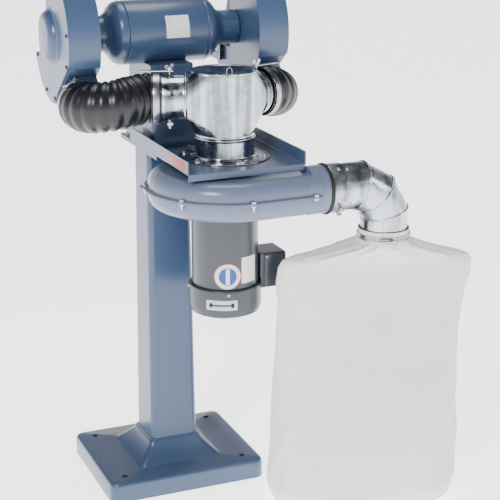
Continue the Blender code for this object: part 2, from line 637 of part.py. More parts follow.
def manifold():
    """Sheet metal manifold: collar on the tray, folded body, lid and two inlet stubs."""
    floor = tray_floor() + SHEET + GAP
    middle = (MANIFOLD_X, MANIFOLD_Y, 0)
    skin = 0.0015
    reach = STUB_START - GAP
    outer = manifold_skin(0.0, COLLAR_TOP - 0.001, LID_Z - 0.004, reach)
    body = place("manifold_body", outer, (STEEL, 0.3, 1.0))
    lid = turned([(0, LID_Z - 0.005), (LID_RADIUS, LID_Z - 0.005), (LID_RADIUS, LID_Z),
                  (LID_RADIUS - 0.002, LID_Z), (LID_RADIUS - 0.003, LID_Z - 0.002), (0, LID_Z - 0.002)],
                 centre=middle)
    combine(body, place("manifold_lid", lid, None, cutter=True), "UNION")
    inner = manifold_skin(skin, COLLAR_TOP - 0.006, LID_Z - 0.0075, reach - skin)
    combine(body, place("manifold_inner", inner, None, cutter=True), "DIFFERENCE")
    collar = [(INTAKE_RADIUS, floor), (RING_RADIUS, floor), (RING_RADIUS, floor + 0.002),
              (COLLAR_RADIUS, floor + 0.003), (COLLAR_RADIUS, COLLAR_TOP - 0.006),
              (COLLAR_RADIUS + 0.002, COLLAR_TOP - 0.003), (COLLAR_RADIUS, COLLAR_TOP),
              (INTAKE_RADIUS, COLLAR_TOP)]
    combine(body, place("manifold_collar", turned(collar, centre=middle, closed=True), None, cutter=True),
            "UNION")
    for side, label in ((-1, "left"), (1, "right")):
        way = stub_direction(side)
        centre = (MANIFOLD_X, MANIFOLD_Y, STUB_Z)
        port = rod(DUCT_RADIUS - 2 * DUCT_WALL, 0.05, 0.10, axis=way, centre=centre)
        combine(body, place(label + "_port", port, None, cutter=True), "DIFFERENCE")
        end = REACH[side] - STUB_SHORT
        profile = [(DUCT_RADIUS - DUCT_WALL, STUB_START), (DUCT_RADIUS + 0.0040, STUB_START),
                   (DUCT_RADIUS + 0.0040, STUB_START + 0.003), (DUCT_RADIUS, STUB_START + 0.006),
                   (DUCT_RADIUS, end), (DUCT_RADIUS - DUCT_WALL, end)]
        stub = place(label + "_inlet_stub", turned(profile, axis=way, centre=centre, closed=True),
                     (STEEL, 0.28, 1.0))
        pivot = stub_point(side, DAMPER_AT[side])
        hole = rod(DAMPER_SHAFT + RUNNING, -0.08, 0.08, centre=pivot, steps=PIN_ROUND)
        combine(stub, place(label + "_stub_holes", hole, None, cutter=True), "DIFFERENCE")
        damper(side, label, pivot)
    weld(body)


def damper(side, label, pivot):
    """Butterfly blade on its upright shaft, and the flat handle that turns it."""
    along = stub_direction(side)
    turn = Matrix.Rotation(math.atan2(along.y, along.x), 4, "Z")
    blade_radius = DUCT_RADIUS - DUCT_WALL - 0.0015
    blade = rod(blade_radius, -0.0010, 0.0010, axis=(0, 1, 0))
    bmesh.ops.transform(blade, matrix=turn, verts=blade.verts)
    plate = place(label + "_damper_blade", blade, (STEEL, 0.3, 1.0), origin=pivot)
    shaft = rod(DAMPER_SHAFT, -DUCT_RADIUS - 0.0170, DUCT_RADIUS + 0.0150, steps=PIN_ROUND)
    combine(plate, place(label + "_damper_shaft", shaft, None, origin=pivot, cutter=True), "UNION")
    low = DUCT_RADIUS + HANDLE_RISE
    strip = block((-0.0080, -0.0050, low), (0.0620, 0.0050, low + 0.0020))
    bmesh.ops.transform(strip, matrix=turn, verts=strip.verts)
    handle = place(label + "_damper_handle", strip, (STEEL, 0.3, 1.0), origin=pivot)
    eye = rod(DAMPER_SHAFT + GAP, low - 0.01, low + 0.01, steps=PIN_ROUND)
    combine(handle, place(label + "_handle_eye", eye, None, origin=pivot, cutter=True), "DIFFERENCE")


def arc_step(point, heading, radius, turn, steps):
    """Points along an arc from a point, turning left for a positive turn; returns the end too."""
    points = []
    for step in range(1, steps + 1):
        now = heading + turn * step / steps
        sign = 1 if turn > 0 else -1
        points.append((point[0] + sign * radius * (math.sin(now) - math.sin(heading)),
                       point[1] + sign * radius * (math.cos(heading) - math.cos(now)), now))
    return points


def hose_route(side):
    """Plan points (x, y, heading) of a hose from its stub to its chute.

    The hose swings out by some angle, runs straight and bends round to face the chute. The swing
    is found by halving an interval until the bend ends on the chute's axis.
    """
    start = stub_point(side, REACH[side])
    heading = math.atan2(stub_direction(side).y, side * stub_direction(side).x)
    goal_x, goal_y = CHUTE_OFFSET + side * GRINDER_X, CHUTE_Y
    begin = (side * start.x, start.y)

    def attempt(swing):
        points = [(begin[0], begin[1], heading)]
        if swing > 1e-4:
            points += arc_step(begin, heading, HOSE_SWING, -swing, 3)
        last = points[-1]
        bend = arc_step((0, 0), last[2], HOSE_BEND, math.pi / 2 - last[2], 6)
        straight = (goal_x - last[0] - bend[-1][0]) / math.cos(last[2])
        corner = (last[0] + straight * math.cos(last[2]), last[1] + straight * math.sin(last[2]))
        if straight > 0.004:
            points.append((*corner, last[2]))
        points += [(corner[0] + x, corner[1] + y, turn) for x, y, turn in bend]
        return points

    low, high = 0.0, math.radians(56)
    if attempt(low)[-1][1] < goal_y + 1e-5:
        high = low
    for _ in range(40):
        middle = (low + high) / 2
        if attempt(middle)[-1][1] > goal_y:
            low = middle
        else:
            high = middle
    return [(side * x, y, turn) for x, y, turn in attempt((low + high) / 2)]


def hose(side, label):
    """Hollow hose with plain cuffs, and a band clamp round each end."""
    route = hose_route(side)
    total = len(route) - 1
    first = stub_point(side, REACH[side] - CUFF)
    rows = [(first.x, first.y, route[0][2], STUB_Z)]
    rows += [(x, y, turn, STUB_Z + (CHUTE_Z - STUB_Z) * index / total)
             for index, (x, y, turn) in enumerate(route)]
    last = route[-1]
    rows.append((last[0], last[1] + CUFF - 0.002, last[2], CHUTE_Z))
    inside = DUCT_RADIUS + 3 * GAP

    def section(row, radius):
        x, y, turn, height = row
        across = Vector((-side * math.sin(turn), math.cos(turn), 0))
        return circle((x, y, height), radius, across, (0, 0, 1), steps=ROUND)

    outer = [section(row, HOSE_RADIUS) for row in rows]
    inner = [section(row, inside) for row in rows[::-1]]
    place(label + "_hose", loft(outer + inner, closed=True), (RUBBER, 0.5))

    band_inner = HOSE_RADIUS + 3 * GAP
    bands = (("_stub_clamp", stub_point(side, REACH[side] - CUFF / 2), stub_direction(side)),
             ("_chute_clamp", Vector((last[0], last[1] + CUFF / 2, CHUTE_Z)), (0, 1, 0)))
    for part, centre, way in bands:
        band = ring(band_inner, band_inner + 0.0015, -0.0065, 0.0065, axis=way, centre=centre)
        place(label + part, band, (STEEL, 0.3, 1.0))


def scroll_radius(angle):
    """The blower's outer radius, growing from the tongue round to the outlet side."""
    if angle <= 0:
        return SCROLL_SMALL
    share = 0.5 - 0.5 * math.cos(math.pi * angle / math.radians(270))
    return SCROLL_SMALL + (SCROLL_LARGE - SCROLL_SMALL) * share


def scroll_outline(inset, outlet_x):
    """The blower's plan outline, drawn in by an inset; the outlet end stays at outlet_x."""
    half_outlet = PIPE_RADIUS + 0.0022
    tongue_y = PIPE_OFFSET - half_outlet
    start = -math.asin(tongue_y / SCROLL_SMALL)
    end = math.radians(270)
    points = []
    steps = 24
    for step in range(steps + 1):
        angle = start + (end - start) * step / steps
        radius = scroll_radius(angle) - inset
        points.append((MANIFOLD_X + radius * math.cos(angle), MANIFOLD_Y + radius * math.sin(angle)))
    points.append((outlet_x, MANIFOLD_Y - PIPE_OFFSET - half_outlet + inset))
    points.append((outlet_x, MANIFOLD_Y - tongue_y - inset))
    return points


def scroll_half(edge, far, inset, outlet_x):
    """One half of the scroll, from the seam to a flat side with a rounded shoulder."""
    depth = abs(far - edge)
    sign = 1 if far > edge else -1
    rounding = 0.030
    rings = []
    for step in range(3):
        angle = math.radians(45 * step)
        drawn = rounding * (1 - math.cos(angle))
        level = edge + sign * (depth - rounding + rounding * math.sin(angle)) if step else edge
        rings.append([(x, y, level) for x, y in scroll_outline(inset + drawn, outlet_x)])
    straight = edge + sign * (depth - rounding)
    rings.insert(1, [(x, y, straight) for x, y in scroll_outline(inset, outlet_x)])
    return loft(rings)


def blower():
    """Two pressed halves of the scroll, the impeller, and the gasket at the outlet."""
    middle = (MANIFOLD_X, MANIFOLD_Y, 0)
    pipe_centre = (0, MANIFOLD_Y - PIPE_OFFSET, SEAM_Z)
    wall = 0.0025
    for label, sign, far in (("upper", 1, BLOWER_TOP), ("lower", -1, BLOWER_BOTTOM)):
        edge = SEAM_Z + sign * GAP / 2
        body = place("blower_housing_" + label, scroll_half(edge, far, 0.0, OUTLET_X - 0.020),
                     (BLOWER_BLUE, 0.35))
        turns = [math.tau * step / ROUND for step in range(ROUND // 2 + 1)]
        half_pipe = [(PIPE_RADIUS * math.cos(turn), PIPE_RADIUS * math.sin(turn)) for turn in turns]
        pipe = prism(half_pipe, TRAY_RIGHT + 0.002, OUTLET_X,
                     lambda u, v, x: (x, pipe_centre[1] + u, edge + sign * v))
        combine(body, place(label + "_pipe", pipe, None, cutter=True), "UNION")
        flange_low, flange_high = sorted((edge, edge + sign * 0.002))
        flange = prism(scroll_outline(-SEAM_FLANGE, OUTLET_X - 0.024), flange_low, flange_high,
                       lambda u, v, z: (u, v, z))
        combine(body, place(label + "_flange", flange, None, cutter=True), "UNION")
        eye_radius = INTAKE_RADIUS + 0.0020 if sign > 0 else 0.030
        eye = rod(eye_radius, *sorted((far - sign * 0.0080, far + sign * 0.0520)), centre=middle)
        combine(body, place(label + "_eye", eye, None, cutter=True), "DIFFERENCE")
        room = scroll_half(edge - sign * 0.001, far - sign * wall, wall, OUTLET_X - 0.022)
        combine(body, place(label + "_room", room, None, cutter=True), "DIFFERENCE")
        bore = rod(PIPE_RADIUS - 0.0020, TRAY_RIGHT + 0.0080, OUTLET_X + 0.01, axis=(1, 0, 0),
                   centre=pipe_centre)
        combine(body, place(label + "_bore", bore, None, cutter=True), "DIFFERENCE")
        if sign > 0:
            neck_top = tray_floor() - GAP
            neck_low = far - wall + 0.0007
            neck = turned([(INTAKE_RADIUS, neck_low), (INTAKE_RADIUS + 0.004, neck_low),
                           (INTAKE_RADIUS + 0.004, neck_top - 0.003), (0.0700, neck_top - 0.003),
                           (0.0700, neck_top), (INTAKE_RADIUS, neck_top)], centre=middle, closed=True)
            combine(body, place("intake_neck", neck, None, cutter=True), "UNION")

    bore_radius = MOTOR_SHAFT_RADIUS + GAP
    hub = [(bore_radius, 0.690), (0.0180, 0.690), (0.0180, 0.6970), (IMPELLER_RADIUS, 0.6970),
           (IMPELLER_RADIUS, 0.6995), (0.0180, 0.6995), (0.0160, 0.7180), (bore_radius, 0.7180)]
    impeller = place("impeller", turned([(r, z - SEAM_Z) for r, z in hub], closed=True),
                     (STEEL, 0.4, 0.8), origin=(MANIFOLD_X, MANIFOLD_Y, SEAM_Z))
    blades = []
    for step in range(8):
        blade = block((0.0350, -0.0010, 0.6990 - SEAM_Z),
                      (IMPELLER_RADIUS - 0.001, 0.0010, 0.7450 - SEAM_Z))
        turn = Matrix.Rotation(math.tau * step / 8, 4, "Z")
        bmesh.ops.transform(blade, matrix=turn, verts=blade.verts)
        blades.append(blade)
    combine(impeller, place("impeller_blades", join_parts(blades), None, cutter=True,
                            origin=(MANIFOLD_X, MANIFOLD_Y, SEAM_Z)), "UNION")

    near = OUTLET_X + GAP
    gasket = ring(PIPE_RADIUS - wall, PIPE_RADIUS + 0.003, near, near + GASKET, axis=(1, 0, 0),
                  centre=pipe_centre)
    place("outlet_gasket", gasket, (RUBBER, 0.6))


def blower_motor():
    """Motor that hangs under the scroll: shell, vented cover, conduit box and shaft."""
    middle = (MANIFOLD_X, MANIFOLD_Y, 0)
    top = BLOWER_BOTTOM - GAP
    shell = [(0.0180, top - 0.006), (MOTOR_RADIUS - 0.004, top - 0.006), (MOTOR_RADIUS - 0.004, MOTOR_LOW),
             (MOTOR_RADIUS, MOTOR_LOW), (MOTOR_RADIUS, top), (0.0180, top)]
    place("blower_motor_shell", turned(shell, centre=middle, closed=True), (MOTOR_GREY, 0.4))
    cup = MOTOR_RADIUS + GAP
    cover = [(0, FAN_COVER_LOW), (FAN_COVER_RADIUS - 0.006, FAN_COVER_LOW),
             (FAN_COVER_RADIUS, FAN_COVER_LOW + 0.006), (FAN_COVER_RADIUS, FAN_COVER_HIGH + 0.012),
             (cup, FAN_COVER_HIGH + 0.012), (cup, FAN_COVER_LOW + 0.008), (0, FAN_COVER_LOW + 0.003)]
    fan_cover = place("fan_cover", turned(cover, centre=middle), (MOTOR_GREY, 0.4))
    slots = [block((MANIFOLD_X - 0.045, MANIFOLD_Y + 0.016 * step - 0.0035, FAN_COVER_LOW - 0.01),
                   (MANIFOLD_X + 0.045, MANIFOLD_Y + 0.016 * step + 0.0035, FAN_COVER_LOW + 0.02))
             for step in range(-2, 3)]
    combine(fan_cover, place("vent_slots", join_parts(slots), None, cutter=True), "DIFFERENCE")
    shaft = [(0, 0.4600), (MOTOR_SHAFT_RADIUS, 0.4600), (MOTOR_SHAFT_RADIUS, 0.5400),
             (0.0350, 0.5400), (0.0350, 0.6300), (MOTOR_SHAFT_RADIUS, 0.6300),
             (MOTOR_SHAFT_RADIUS, 0.7150), (0, 0.7150)]
    place("blower_motor_rotor", turned(shaft, centre=middle), (STEEL, 0.3, 1.0))
    size_x, size_y, size_z = CONDUIT_SIZE
    low_x = MANIFOLD_X + MOTOR_RADIUS - 0.0040
    case = block((low_x, MANIFOLD_Y - size_y / 2, 0.490),
                 (low_x + size_x, MANIFOLD_Y + size_y / 2, 0.490 + size_z), 0.003)
    box = place("conduit_box", case, (MOTOR_GREY, 0.45))
    ledge = FAN_COVER_HIGH + 0.0125
    fit = turned([(0, 0.40), (FAN_COVER_RADIUS + GAP, 0.40), (FAN_COVER_RADIUS + GAP, ledge),
                  (MOTOR_RADIUS + GAP, ledge), (MOTOR_RADIUS + GAP, 0.70), (0, 0.70)], centre=middle)
    combine(box, place("conduit_fit", fit, None, cutter=True), "DIFFERENCE")
    gland = rod(0.0105, low_x + size_x / 2, low_x + size_x + 0.01, axis=(1, 0, 0), steps=SMALL_ROUND,
                centre=(0, MANIFOLD_Y, 0.515))
    combine(box, place("conduit_gland", gland, None, cutter=True), "DIFFERENCE")
    weld(box)


def elbow():
    """Four-piece sheet elbow from the outlet down to the bag."""
    y = MANIFOLD_Y - PIPE_OFFSET
    bend = Vector((ELBOW_X - ELBOW_BEND, y, SEAM_Z - ELBOW_BEND))
    start_x = OUTLET_X + GASKET + 2 * GAP
    east, north, up = (1, 0, 0), (0, 1, 0), (0, 0, 1)

    def rings(radius, begin, end):
        made = [circle((begin, y, SEAM_Z), radius, up, north)]
        for angle in (15, 45, 75):
            out = Vector((math.sin(math.radians(angle)), 0, math.cos(math.radians(angle))))
            stretch = 1 / math.cos(math.radians(15))
            made.append(circle(bend + ELBOW_BEND * stretch * out, radius, stretch * out, north))
        made.append(circle((ELBOW_X, y, end), radius, east, north))
        return made

    outer = rings(ELBOW_RADIUS, start_x, ELBOW_LOW)
    inner = rings(ELBOW_RADIUS - DUCT_WALL, start_x, ELBOW_LOW)
    place("outlet_elbow", loft(outer + inner[::-1], closed=True), (ZINC, 0.32, 0.9))

    neck = ELBOW_RADIUS + BAG_CLOTH + 7 * GAP
    band = ring(neck, neck + 0.0015, BAND_Z - BAND_HALF, BAND_Z + BAND_HALF, centre=(ELBOW_X, y, 0))
    place("bag_clamp", band, (ZINC, 0.3, 0.9))


def bag():
    """Flat cloth bag that hangs from the elbow: round neck, wide shoulders, closed foot."""
    y = MANIFOLD_Y - PIPE_OFFSET
    wide = Vector((math.cos(BAG_TURN), math.sin(BAG_TURN), 0))
    deep = Vector((-wide.y, wide.x, 0))
    half = BAG_HALF_WIDTH
    deepest = BAG_HALF_DEPTH
    neck = ELBOW_RADIUS + 3 * GAP + BAG_CLOTH

    def section(height, half_u, half_v, shift, power):
        points = []
        for step in range(BAG_ROUND):
            turn = math.tau * step / BAG_ROUND
            c, s = math.cos(turn), math.sin(turn)
            u = shift + half_u * math.copysign(abs(c) ** power, c)
            v = half_v * math.copysign(abs(s) ** power, s)
            points.append(Vector((ELBOW_X, y, height)) + u * wide + v * deep)
        return points

    shape = [(BAND_Z + 0.016, neck, neck, 0.0, 1.0), (BAND_Z - 0.010, neck, neck, 0.0, 1.0),
             (0.5840, 0.080, neck, BAG_SHIFT * 0.3, 1.0),
             (BAG_SHOULDER, half - 0.030, 0.050, BAG_SHIFT, 0.95),
             (0.5350, half - 0.003, 0.056, BAG_SHIFT, 1.0), (0.4600, half, 0.066, BAG_SHIFT, 1.0),
             (0.3000, half - 0.008, 0.096, BAG_SHIFT, 0.95), (0.1400, half - 0.008, deepest, BAG_SHIFT, 0.9),
             (0.0400, half - 0.010, deepest, BAG_SHIFT, 0.9),
             (BAG_CLEAR, half - 0.030, deepest - 0.025, BAG_SHIFT, 0.9)]
    outer = [section(*row) for row in shape]
    inner = [section(max(z, BAG_CLEAR + BAG_CLOTH), half_u - BAG_CLOTH, half_v - BAG_CLOTH, shift, power)
             for z, half_u, half_v, shift, power in shape]
    place("dust_bag", loft(outer[::-1] + inner), (CLOTH, 0.95))


def main():
    """Build every piece."""
    clear_scene()
    pedestal()
    tray()
    foot()
    motor()
    for side, label in ((-1, "left"), (1, "right")):
        guard(side, label)
        wheel_set(side, label)
        tool_rest(side, label)
        eye_shield(side, label)
        hose(side, label)
    manifold()
    blower()
    blower_motor()
    elbow()
    bag()


main()
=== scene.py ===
"""Looks of a pedestal bench grinder with its dust collector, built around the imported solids.

Metres, +Z up. +X is to the right as seen from the dust collector and -Y is the dust collector's side.
"""

import logging
import math
from collections.abc import Callable, Iterable, Sequence
from dataclasses import dataclass
from enum import Enum

import bmesh
import bpy
from mathutils import Matrix, Vector, noise


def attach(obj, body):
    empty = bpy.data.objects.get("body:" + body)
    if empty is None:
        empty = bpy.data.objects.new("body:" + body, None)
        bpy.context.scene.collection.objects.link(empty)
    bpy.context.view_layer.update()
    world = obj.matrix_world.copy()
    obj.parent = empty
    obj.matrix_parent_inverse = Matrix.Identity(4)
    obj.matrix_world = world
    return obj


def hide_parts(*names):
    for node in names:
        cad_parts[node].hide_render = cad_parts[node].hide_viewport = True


log = logging.getLogger("grinder")
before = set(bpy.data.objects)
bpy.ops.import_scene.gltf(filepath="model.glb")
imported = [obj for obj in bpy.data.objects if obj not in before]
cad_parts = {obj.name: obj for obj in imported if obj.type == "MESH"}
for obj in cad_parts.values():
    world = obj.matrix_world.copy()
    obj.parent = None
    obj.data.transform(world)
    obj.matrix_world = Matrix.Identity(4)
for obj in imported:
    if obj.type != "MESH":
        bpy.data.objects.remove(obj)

Point = Sequence[float]
Profile = Sequence[tuple[float, float]]

SPINDLE = Vector((0.0080, 0.0200, 1.0180))
BARREL_RADIUS = 0.0685
GUARD_RADIUS = 0.1420
GUARD_NEAR = 0.1750
GUARD_FAR = 0.2380
CHORD = 0.1180
CHORD_ANGLE = math.radians(234)
WHEEL_NEAR = 0.1930
WHEEL_WIDTH = 0.0250
CHUTE_OFFSET = 0.2105
CHUTE_Y = -0.1060
CHUTE_Z = 0.8900
DUCT_RADIUS = 0.0475
HOSE_RADIUS = 0.0505
HOSE_BEND = 0.0530
CUFF = 0.0220
STUB_ANGLE = math.radians(20)
STUB_Z = 0.9050
REACH = {-1: 0.1500, 1: 0.1200}
DAMPER_AT = {-1: 0.1120, 1: 0.0905}
AXIS_X = SPINDLE.x + CHUTE_OFFSET - HOSE_BEND * (1 - math.sin(STUB_ANGLE)) - REACH[1] * math.cos(STUB_ANGLE)
AXIS_Y = CHUTE_Y - HOSE_BEND * math.cos(STUB_ANGLE) - REACH[1] * math.sin(STUB_ANGLE)
AXIS = Vector((AXIS_X, AXIS_Y, 0.0))
TRAY_LOW = 0.7776
SEAM_Z = 0.7234
BAG_X = 0.3840
BAG_NECK = 0.0549
SWITCH_FACE_Y = 0.1121
SWITCH_Z = 0.8659
FIT = 0.0003
PIPE_OFFSET = 0.1280
EAST = Vector((1, 0, 0))
NORTH = Vector((0, 1, 0))
UP = Vector((0, 0, 1))
SMOOTH = 96


class Side(Enum):
    """The two ends of the grinder, with the sign of their X."""

    LEFT = -1
    RIGHT = 1

    @property
    def label(self) -> str:
        """The side's name in piece and node names."""
        return self.name.lower()


class Head(Enum):
    """The shape of a screw's head."""

    HEX = "hex"
    PAN = "pan"
    SOCKET = "socket"


# ---- finishes ----
def linear(colour: str) -> tuple[float, float, float, float]:
    """Turn an sRGB hex colour into linear values.

    Args:
        colour: Six hex digits after a hash.

    Returns:
        Linear red, green, blue and an alpha of one.
    """
    parts = [int(colour[at:at + 2], 16) / 255 for at in (1, 3, 5)]
    bent = [part / 12.92 if part <= 0.04045 else ((part + 0.055) / 1.055) ** 2.4 for part in parts]
    return (bent[0], bent[1], bent[2], 1.0)


def add_node(tree: bpy.types.NodeTree, kind: str, settings: dict | None = None,
             inputs: dict | None = None) -> bpy.types.Node:
    """Add a shader node with its settings and inputs.

    Args:
        tree: The material's node tree.
        kind: The node's type without its ShaderNode prefix.
        settings: Attributes of the node.
        inputs: Values, or sockets to link from, by input name or number.

    Returns:
        The new node.
    """
    made = tree.nodes.new("ShaderNode" + kind)
    for name, value in (settings or {}).items():
        setattr(made, name, value)
    for name, value in (inputs or {}).items():
        if isinstance(value, bpy.types.NodeSocket):
            tree.links.new(value, made.inputs[name])
        else:
            made.inputs[name].default_value = value
    return made


@dataclass(frozen=True)
class Finish:
    """A surface finish, which its subclasses give their own detail."""

    name: str
    slot: str
    colour: str
    roughness: float
    metallic: float = 0.0

    def detail(self, tree: bpy.types.NodeTree, shader: bpy.types.Node, place: bpy.types.NodeSocket) -> None:
        """Add the finish's own pattern.

        Args:
            tree: The material's node tree.
            shader: The principled shader.
            place: Object coordinates in metres.
        """

    def build(self) -> bpy.types.Material:
        """Make the material once and return it.

        Returns:
            The material.
        """
        known = bpy.data.materials.get(self.name)
        if known:
            return known
        made = bpy.data.materials.new(self.name)
        made.use_nodes = True
        tree = made.node_tree
        shader = tree.nodes["Principled BSDF"]
        shader.inputs["Base Color"].default_value = linear(self.colour)
        shader.inputs["Roughness"].default_value = self.roughness
        shader.inputs["Metallic"].default_value = self.metallic
        place = add_node(tree, "TexCoord").outputs["Object"]
        self.detail(tree, shader, place)
        return made

    def tint(self, tree: bpy.types.NodeTree, shader: bpy.types.Node, factor: bpy.types.NodeSocket,
             low: float, high: float) -> None:
        """Vary the colour between two brightnesses of itself.

        Args:
            tree: The material's node tree.
            shader: The principled shader.
            factor: The pattern, from 0 to 1.
            low: Brightness at 0.
            high: Brightness at 1.
        """
        base = linear(self.colour)
        dark = tuple(part * low for part in base[:3]) + (1.0,)
        light = tuple(min(1.0, part * high) for part in base[:3]) + (1.0,)
        mix = add_node(tree, "Mix", {"data_type": "RGBA"}, {0: factor, 6: dark, 7: light})
        tree.links.new(mix.outputs[2], shader.inputs["Base Color"])

    def rough(self, tree: bpy.types.NodeTree, shader: bpy.types.Node, factor: bpy.types.NodeSocket,
              spread: float) -> None:
        """Vary the roughness about its middle.

        Args:
            tree: The material's node tree.
            shader: The principled shader.
            factor: The pattern, from 0 to 1.
            spread: The whole width of the variation.
        """
        span = add_node(tree, "MapRange", None, {"Value": factor, "To Min": self.roughness - spread / 2,
                                                 "To Max": self.roughness + spread / 2})
        tree.links.new(span.outputs["Result"], shader.inputs["Roughness"])

    def bump(self, tree: bpy.types.NodeTree, shader: bpy.types.Node, height: bpy.types.NodeSocket,
             strength: float, distance: float) -> None:
        """Raise the surface by a pattern.

        Args:
            tree: The material's node tree.
            shader: The principled shader.
            height: The pattern, from 0 to 1.
            strength: How much of it shows.
            distance: Its real height in metres.
        """
        made = add_node(tree, "Bump", None, {"Strength": strength, "Distance": distance, "Height": height})
        tree.links.new(made.outputs["Normal"], shader.inputs["Normal"])


def cloudy(tree: bpy.types.NodeTree, place: bpy.types.NodeSocket, size_mm: float, detail: float = 3.0,
           rough: float = 0.5) -> bpy.types.NodeSocket:
    """A soft noise with features of a real size.

    Args:
        tree: The material's node tree.
        place: Coordinates in metres.
        size_mm: The size of a feature in millimetres.
        detail: Octaves of finer noise.
        rough: Strength of the finer octaves.

    Returns:
        The noise from 0 to 1.
    """
    made = add_node(tree, "TexNoise", None, {"Vector": place, "Scale": 1000 / size_mm, "Detail": detail,
                                             "Roughness": rough})
    return made.outputs["Fac"]


@dataclass(frozen=True)
class Enamel(Finish):
    """Sprayed and baked enamel: an even gloss with fine orange peel and a faint cloudiness."""

    peel_mm: float = 1.6
    dust: float = 0.10

    def detail(self, tree: bpy.types.NodeTree, shader: bpy.types.Node, place: bpy.types.NodeSocket) -> None:
        """Add orange peel, cloudiness and a little dust on faces that look up.

        Args:
            tree: The material's node tree.
            shader: The principled shader.
            place: Object coordinates in metres.
        """
        clouds = cloudy(tree, place, 60.0, 4.0)
        handled = cloudy(tree, place, 14.0, 5.0, 0.65)
        peel = cloudy(tree, place, self.peel_mm, 1.0)
        base = linear(self.colour)
        dark = tuple(part * 0.90 for part in base[:3]) + (1.0,)
        light = tuple(min(1.0, part * 1.08) for part in base[:3]) + (1.0,)
        mix = add_node(tree, "Mix", {"data_type": "RGBA"}, {0: clouds, 6: dark, 7: light})
        normal = add_node(tree, "NewGeometry").outputs["Normal"]
        upright = add_node(tree, "SeparateXYZ", None, {0: normal}).outputs["Z"]
        facing = add_node(tree, "MapRange", None, {"Value": upright, "From Min": 0.75, "From Max": 1.0,
                                                   "To Max": self.dust})
        lying = add_node(tree, "Math", {"operation": "MULTIPLY"}, {0: facing.outputs["Result"], 1: handled})
        dusty = add_node(tree, "Mix", {"data_type": "RGBA"},
                         {0: lying.outputs[0], 6: mix.outputs[2], 7: linear("#b9bcc4")})
        tree.links.new(dusty.outputs[2], shader.inputs["Base Color"])
        self.rough(tree, shader, handled, 0.05)
        self.bump(tree, shader, peel, 0.06, 0.0002)
        shader.inputs["Coat Weight"].default_value = 0.25
        shader.inputs["Coat Roughness"].default_value = 0.18


@dataclass(frozen=True)
class Galvanised(Finish):
    """Hot-dip galvanised sheet: bright metal with flat crystal spangles and a slightly wavy face."""

    spangle_mm: float = 11.0

    def detail(self, tree: bpy.types.NodeTree, shader: bpy.types.Node, place: bpy.types.NodeSocket) -> None:
        """Add the spangles, the painted reflection streaks and the sheet's waviness.

        Args:
            tree: The material's node tree.
            shader: The principled shader.
            place: Object coordinates in metres.
        """
        cells = add_node(tree, "TexVoronoi", None, {"Vector": place, "Scale": 1000 / self.spangle_mm,
                                                    "Randomness": 1.0})
        shade = add_node(tree, "SeparateColor", None, {0: cells.outputs["Color"]}).outputs[0]
        # Painted reflection: long light and dark streaks in the colour stand in for surroundings mirrored in
        # the sheet. They are mixed with the spangles, which are the sheet's own tone.
        reflection_streak_place = add_node(tree, "Mapping", None, {"Vector": place, "Scale": (1.0, 1.0, 0.07)})
        painted_reflection_streaks = add_node(tree, "MapRange", None, {"Value": cloudy(tree, reflection_streak_place.outputs[0], 24.0, 2.0),
                                                    "From Min": 0.38, "From Max": 0.60})
        spangle_and_painted_reflection = add_node(tree, "Mix", None, {0: 0.22, 2: painted_reflection_streaks.outputs["Result"], 3: shade})
        self.tint(tree, shader, spangle_and_painted_reflection.outputs[0], 0.38, 1.20)
        self.rough(tree, shader, shade, 0.14)
        waves = cloudy(tree, place, 45.0, 2.0)
        self.bump(tree, shader, waves, 0.25, 0.0012)


@dataclass(frozen=True)
class Machined(Finish):
    """Turned or ground steel: tool marks in one direction and a few handling smears."""

    mark_mm: float = 0.9

    def detail(self, tree: bpy.types.NodeTree, shader: bpy.types.Node, place: bpy.types.NodeSocket) -> None:
        """Add the tool marks and the smears.

        Args:
            tree: The material's node tree.
            shader: The principled shader.
            place: Object coordinates in metres.
        """
        drawn = add_node(tree, "Mapping", None, {"Vector": place, "Scale": (12.0, 1.0, 1.0)})
        marks = cloudy(tree, drawn.outputs[0], self.mark_mm * 12, 2.0)
        smears = cloudy(tree, place, 18.0, 4.0, 0.6)
        self.tint(tree, shader, smears, 0.88, 1.05)
        self.rough(tree, shader, smears, 0.16)
        self.bump(tree, shader, marks, 0.12, 0.0001)


@dataclass(frozen=True)
class Moulded(Finish):
    """Moulded rubber or plastic: a fine matt grain, and a bloom where it has been handled."""

    grain_mm: float = 0.8
    depth: float = 0.16

    def detail(self, tree: bpy.types.NodeTree, shader: bpy.types.Node, place: bpy.types.NodeSocket) -> None:
        """Add the grain and the bloom.

        Args:
            tree: The material's node tree.
            shader: The principled shader.
            place: Object coordinates in metres.
        """
        bloom = cloudy(tree, place, 22.0, 5.0, 0.6)
        self.tint(tree, shader, bloom, 0.75, 1.45)
        self.rough(tree, shader, bloom, 0.20)
        self.bump(tree, shader, cloudy(tree, place, self.grain_mm, 2.0), self.depth, 0.0002)


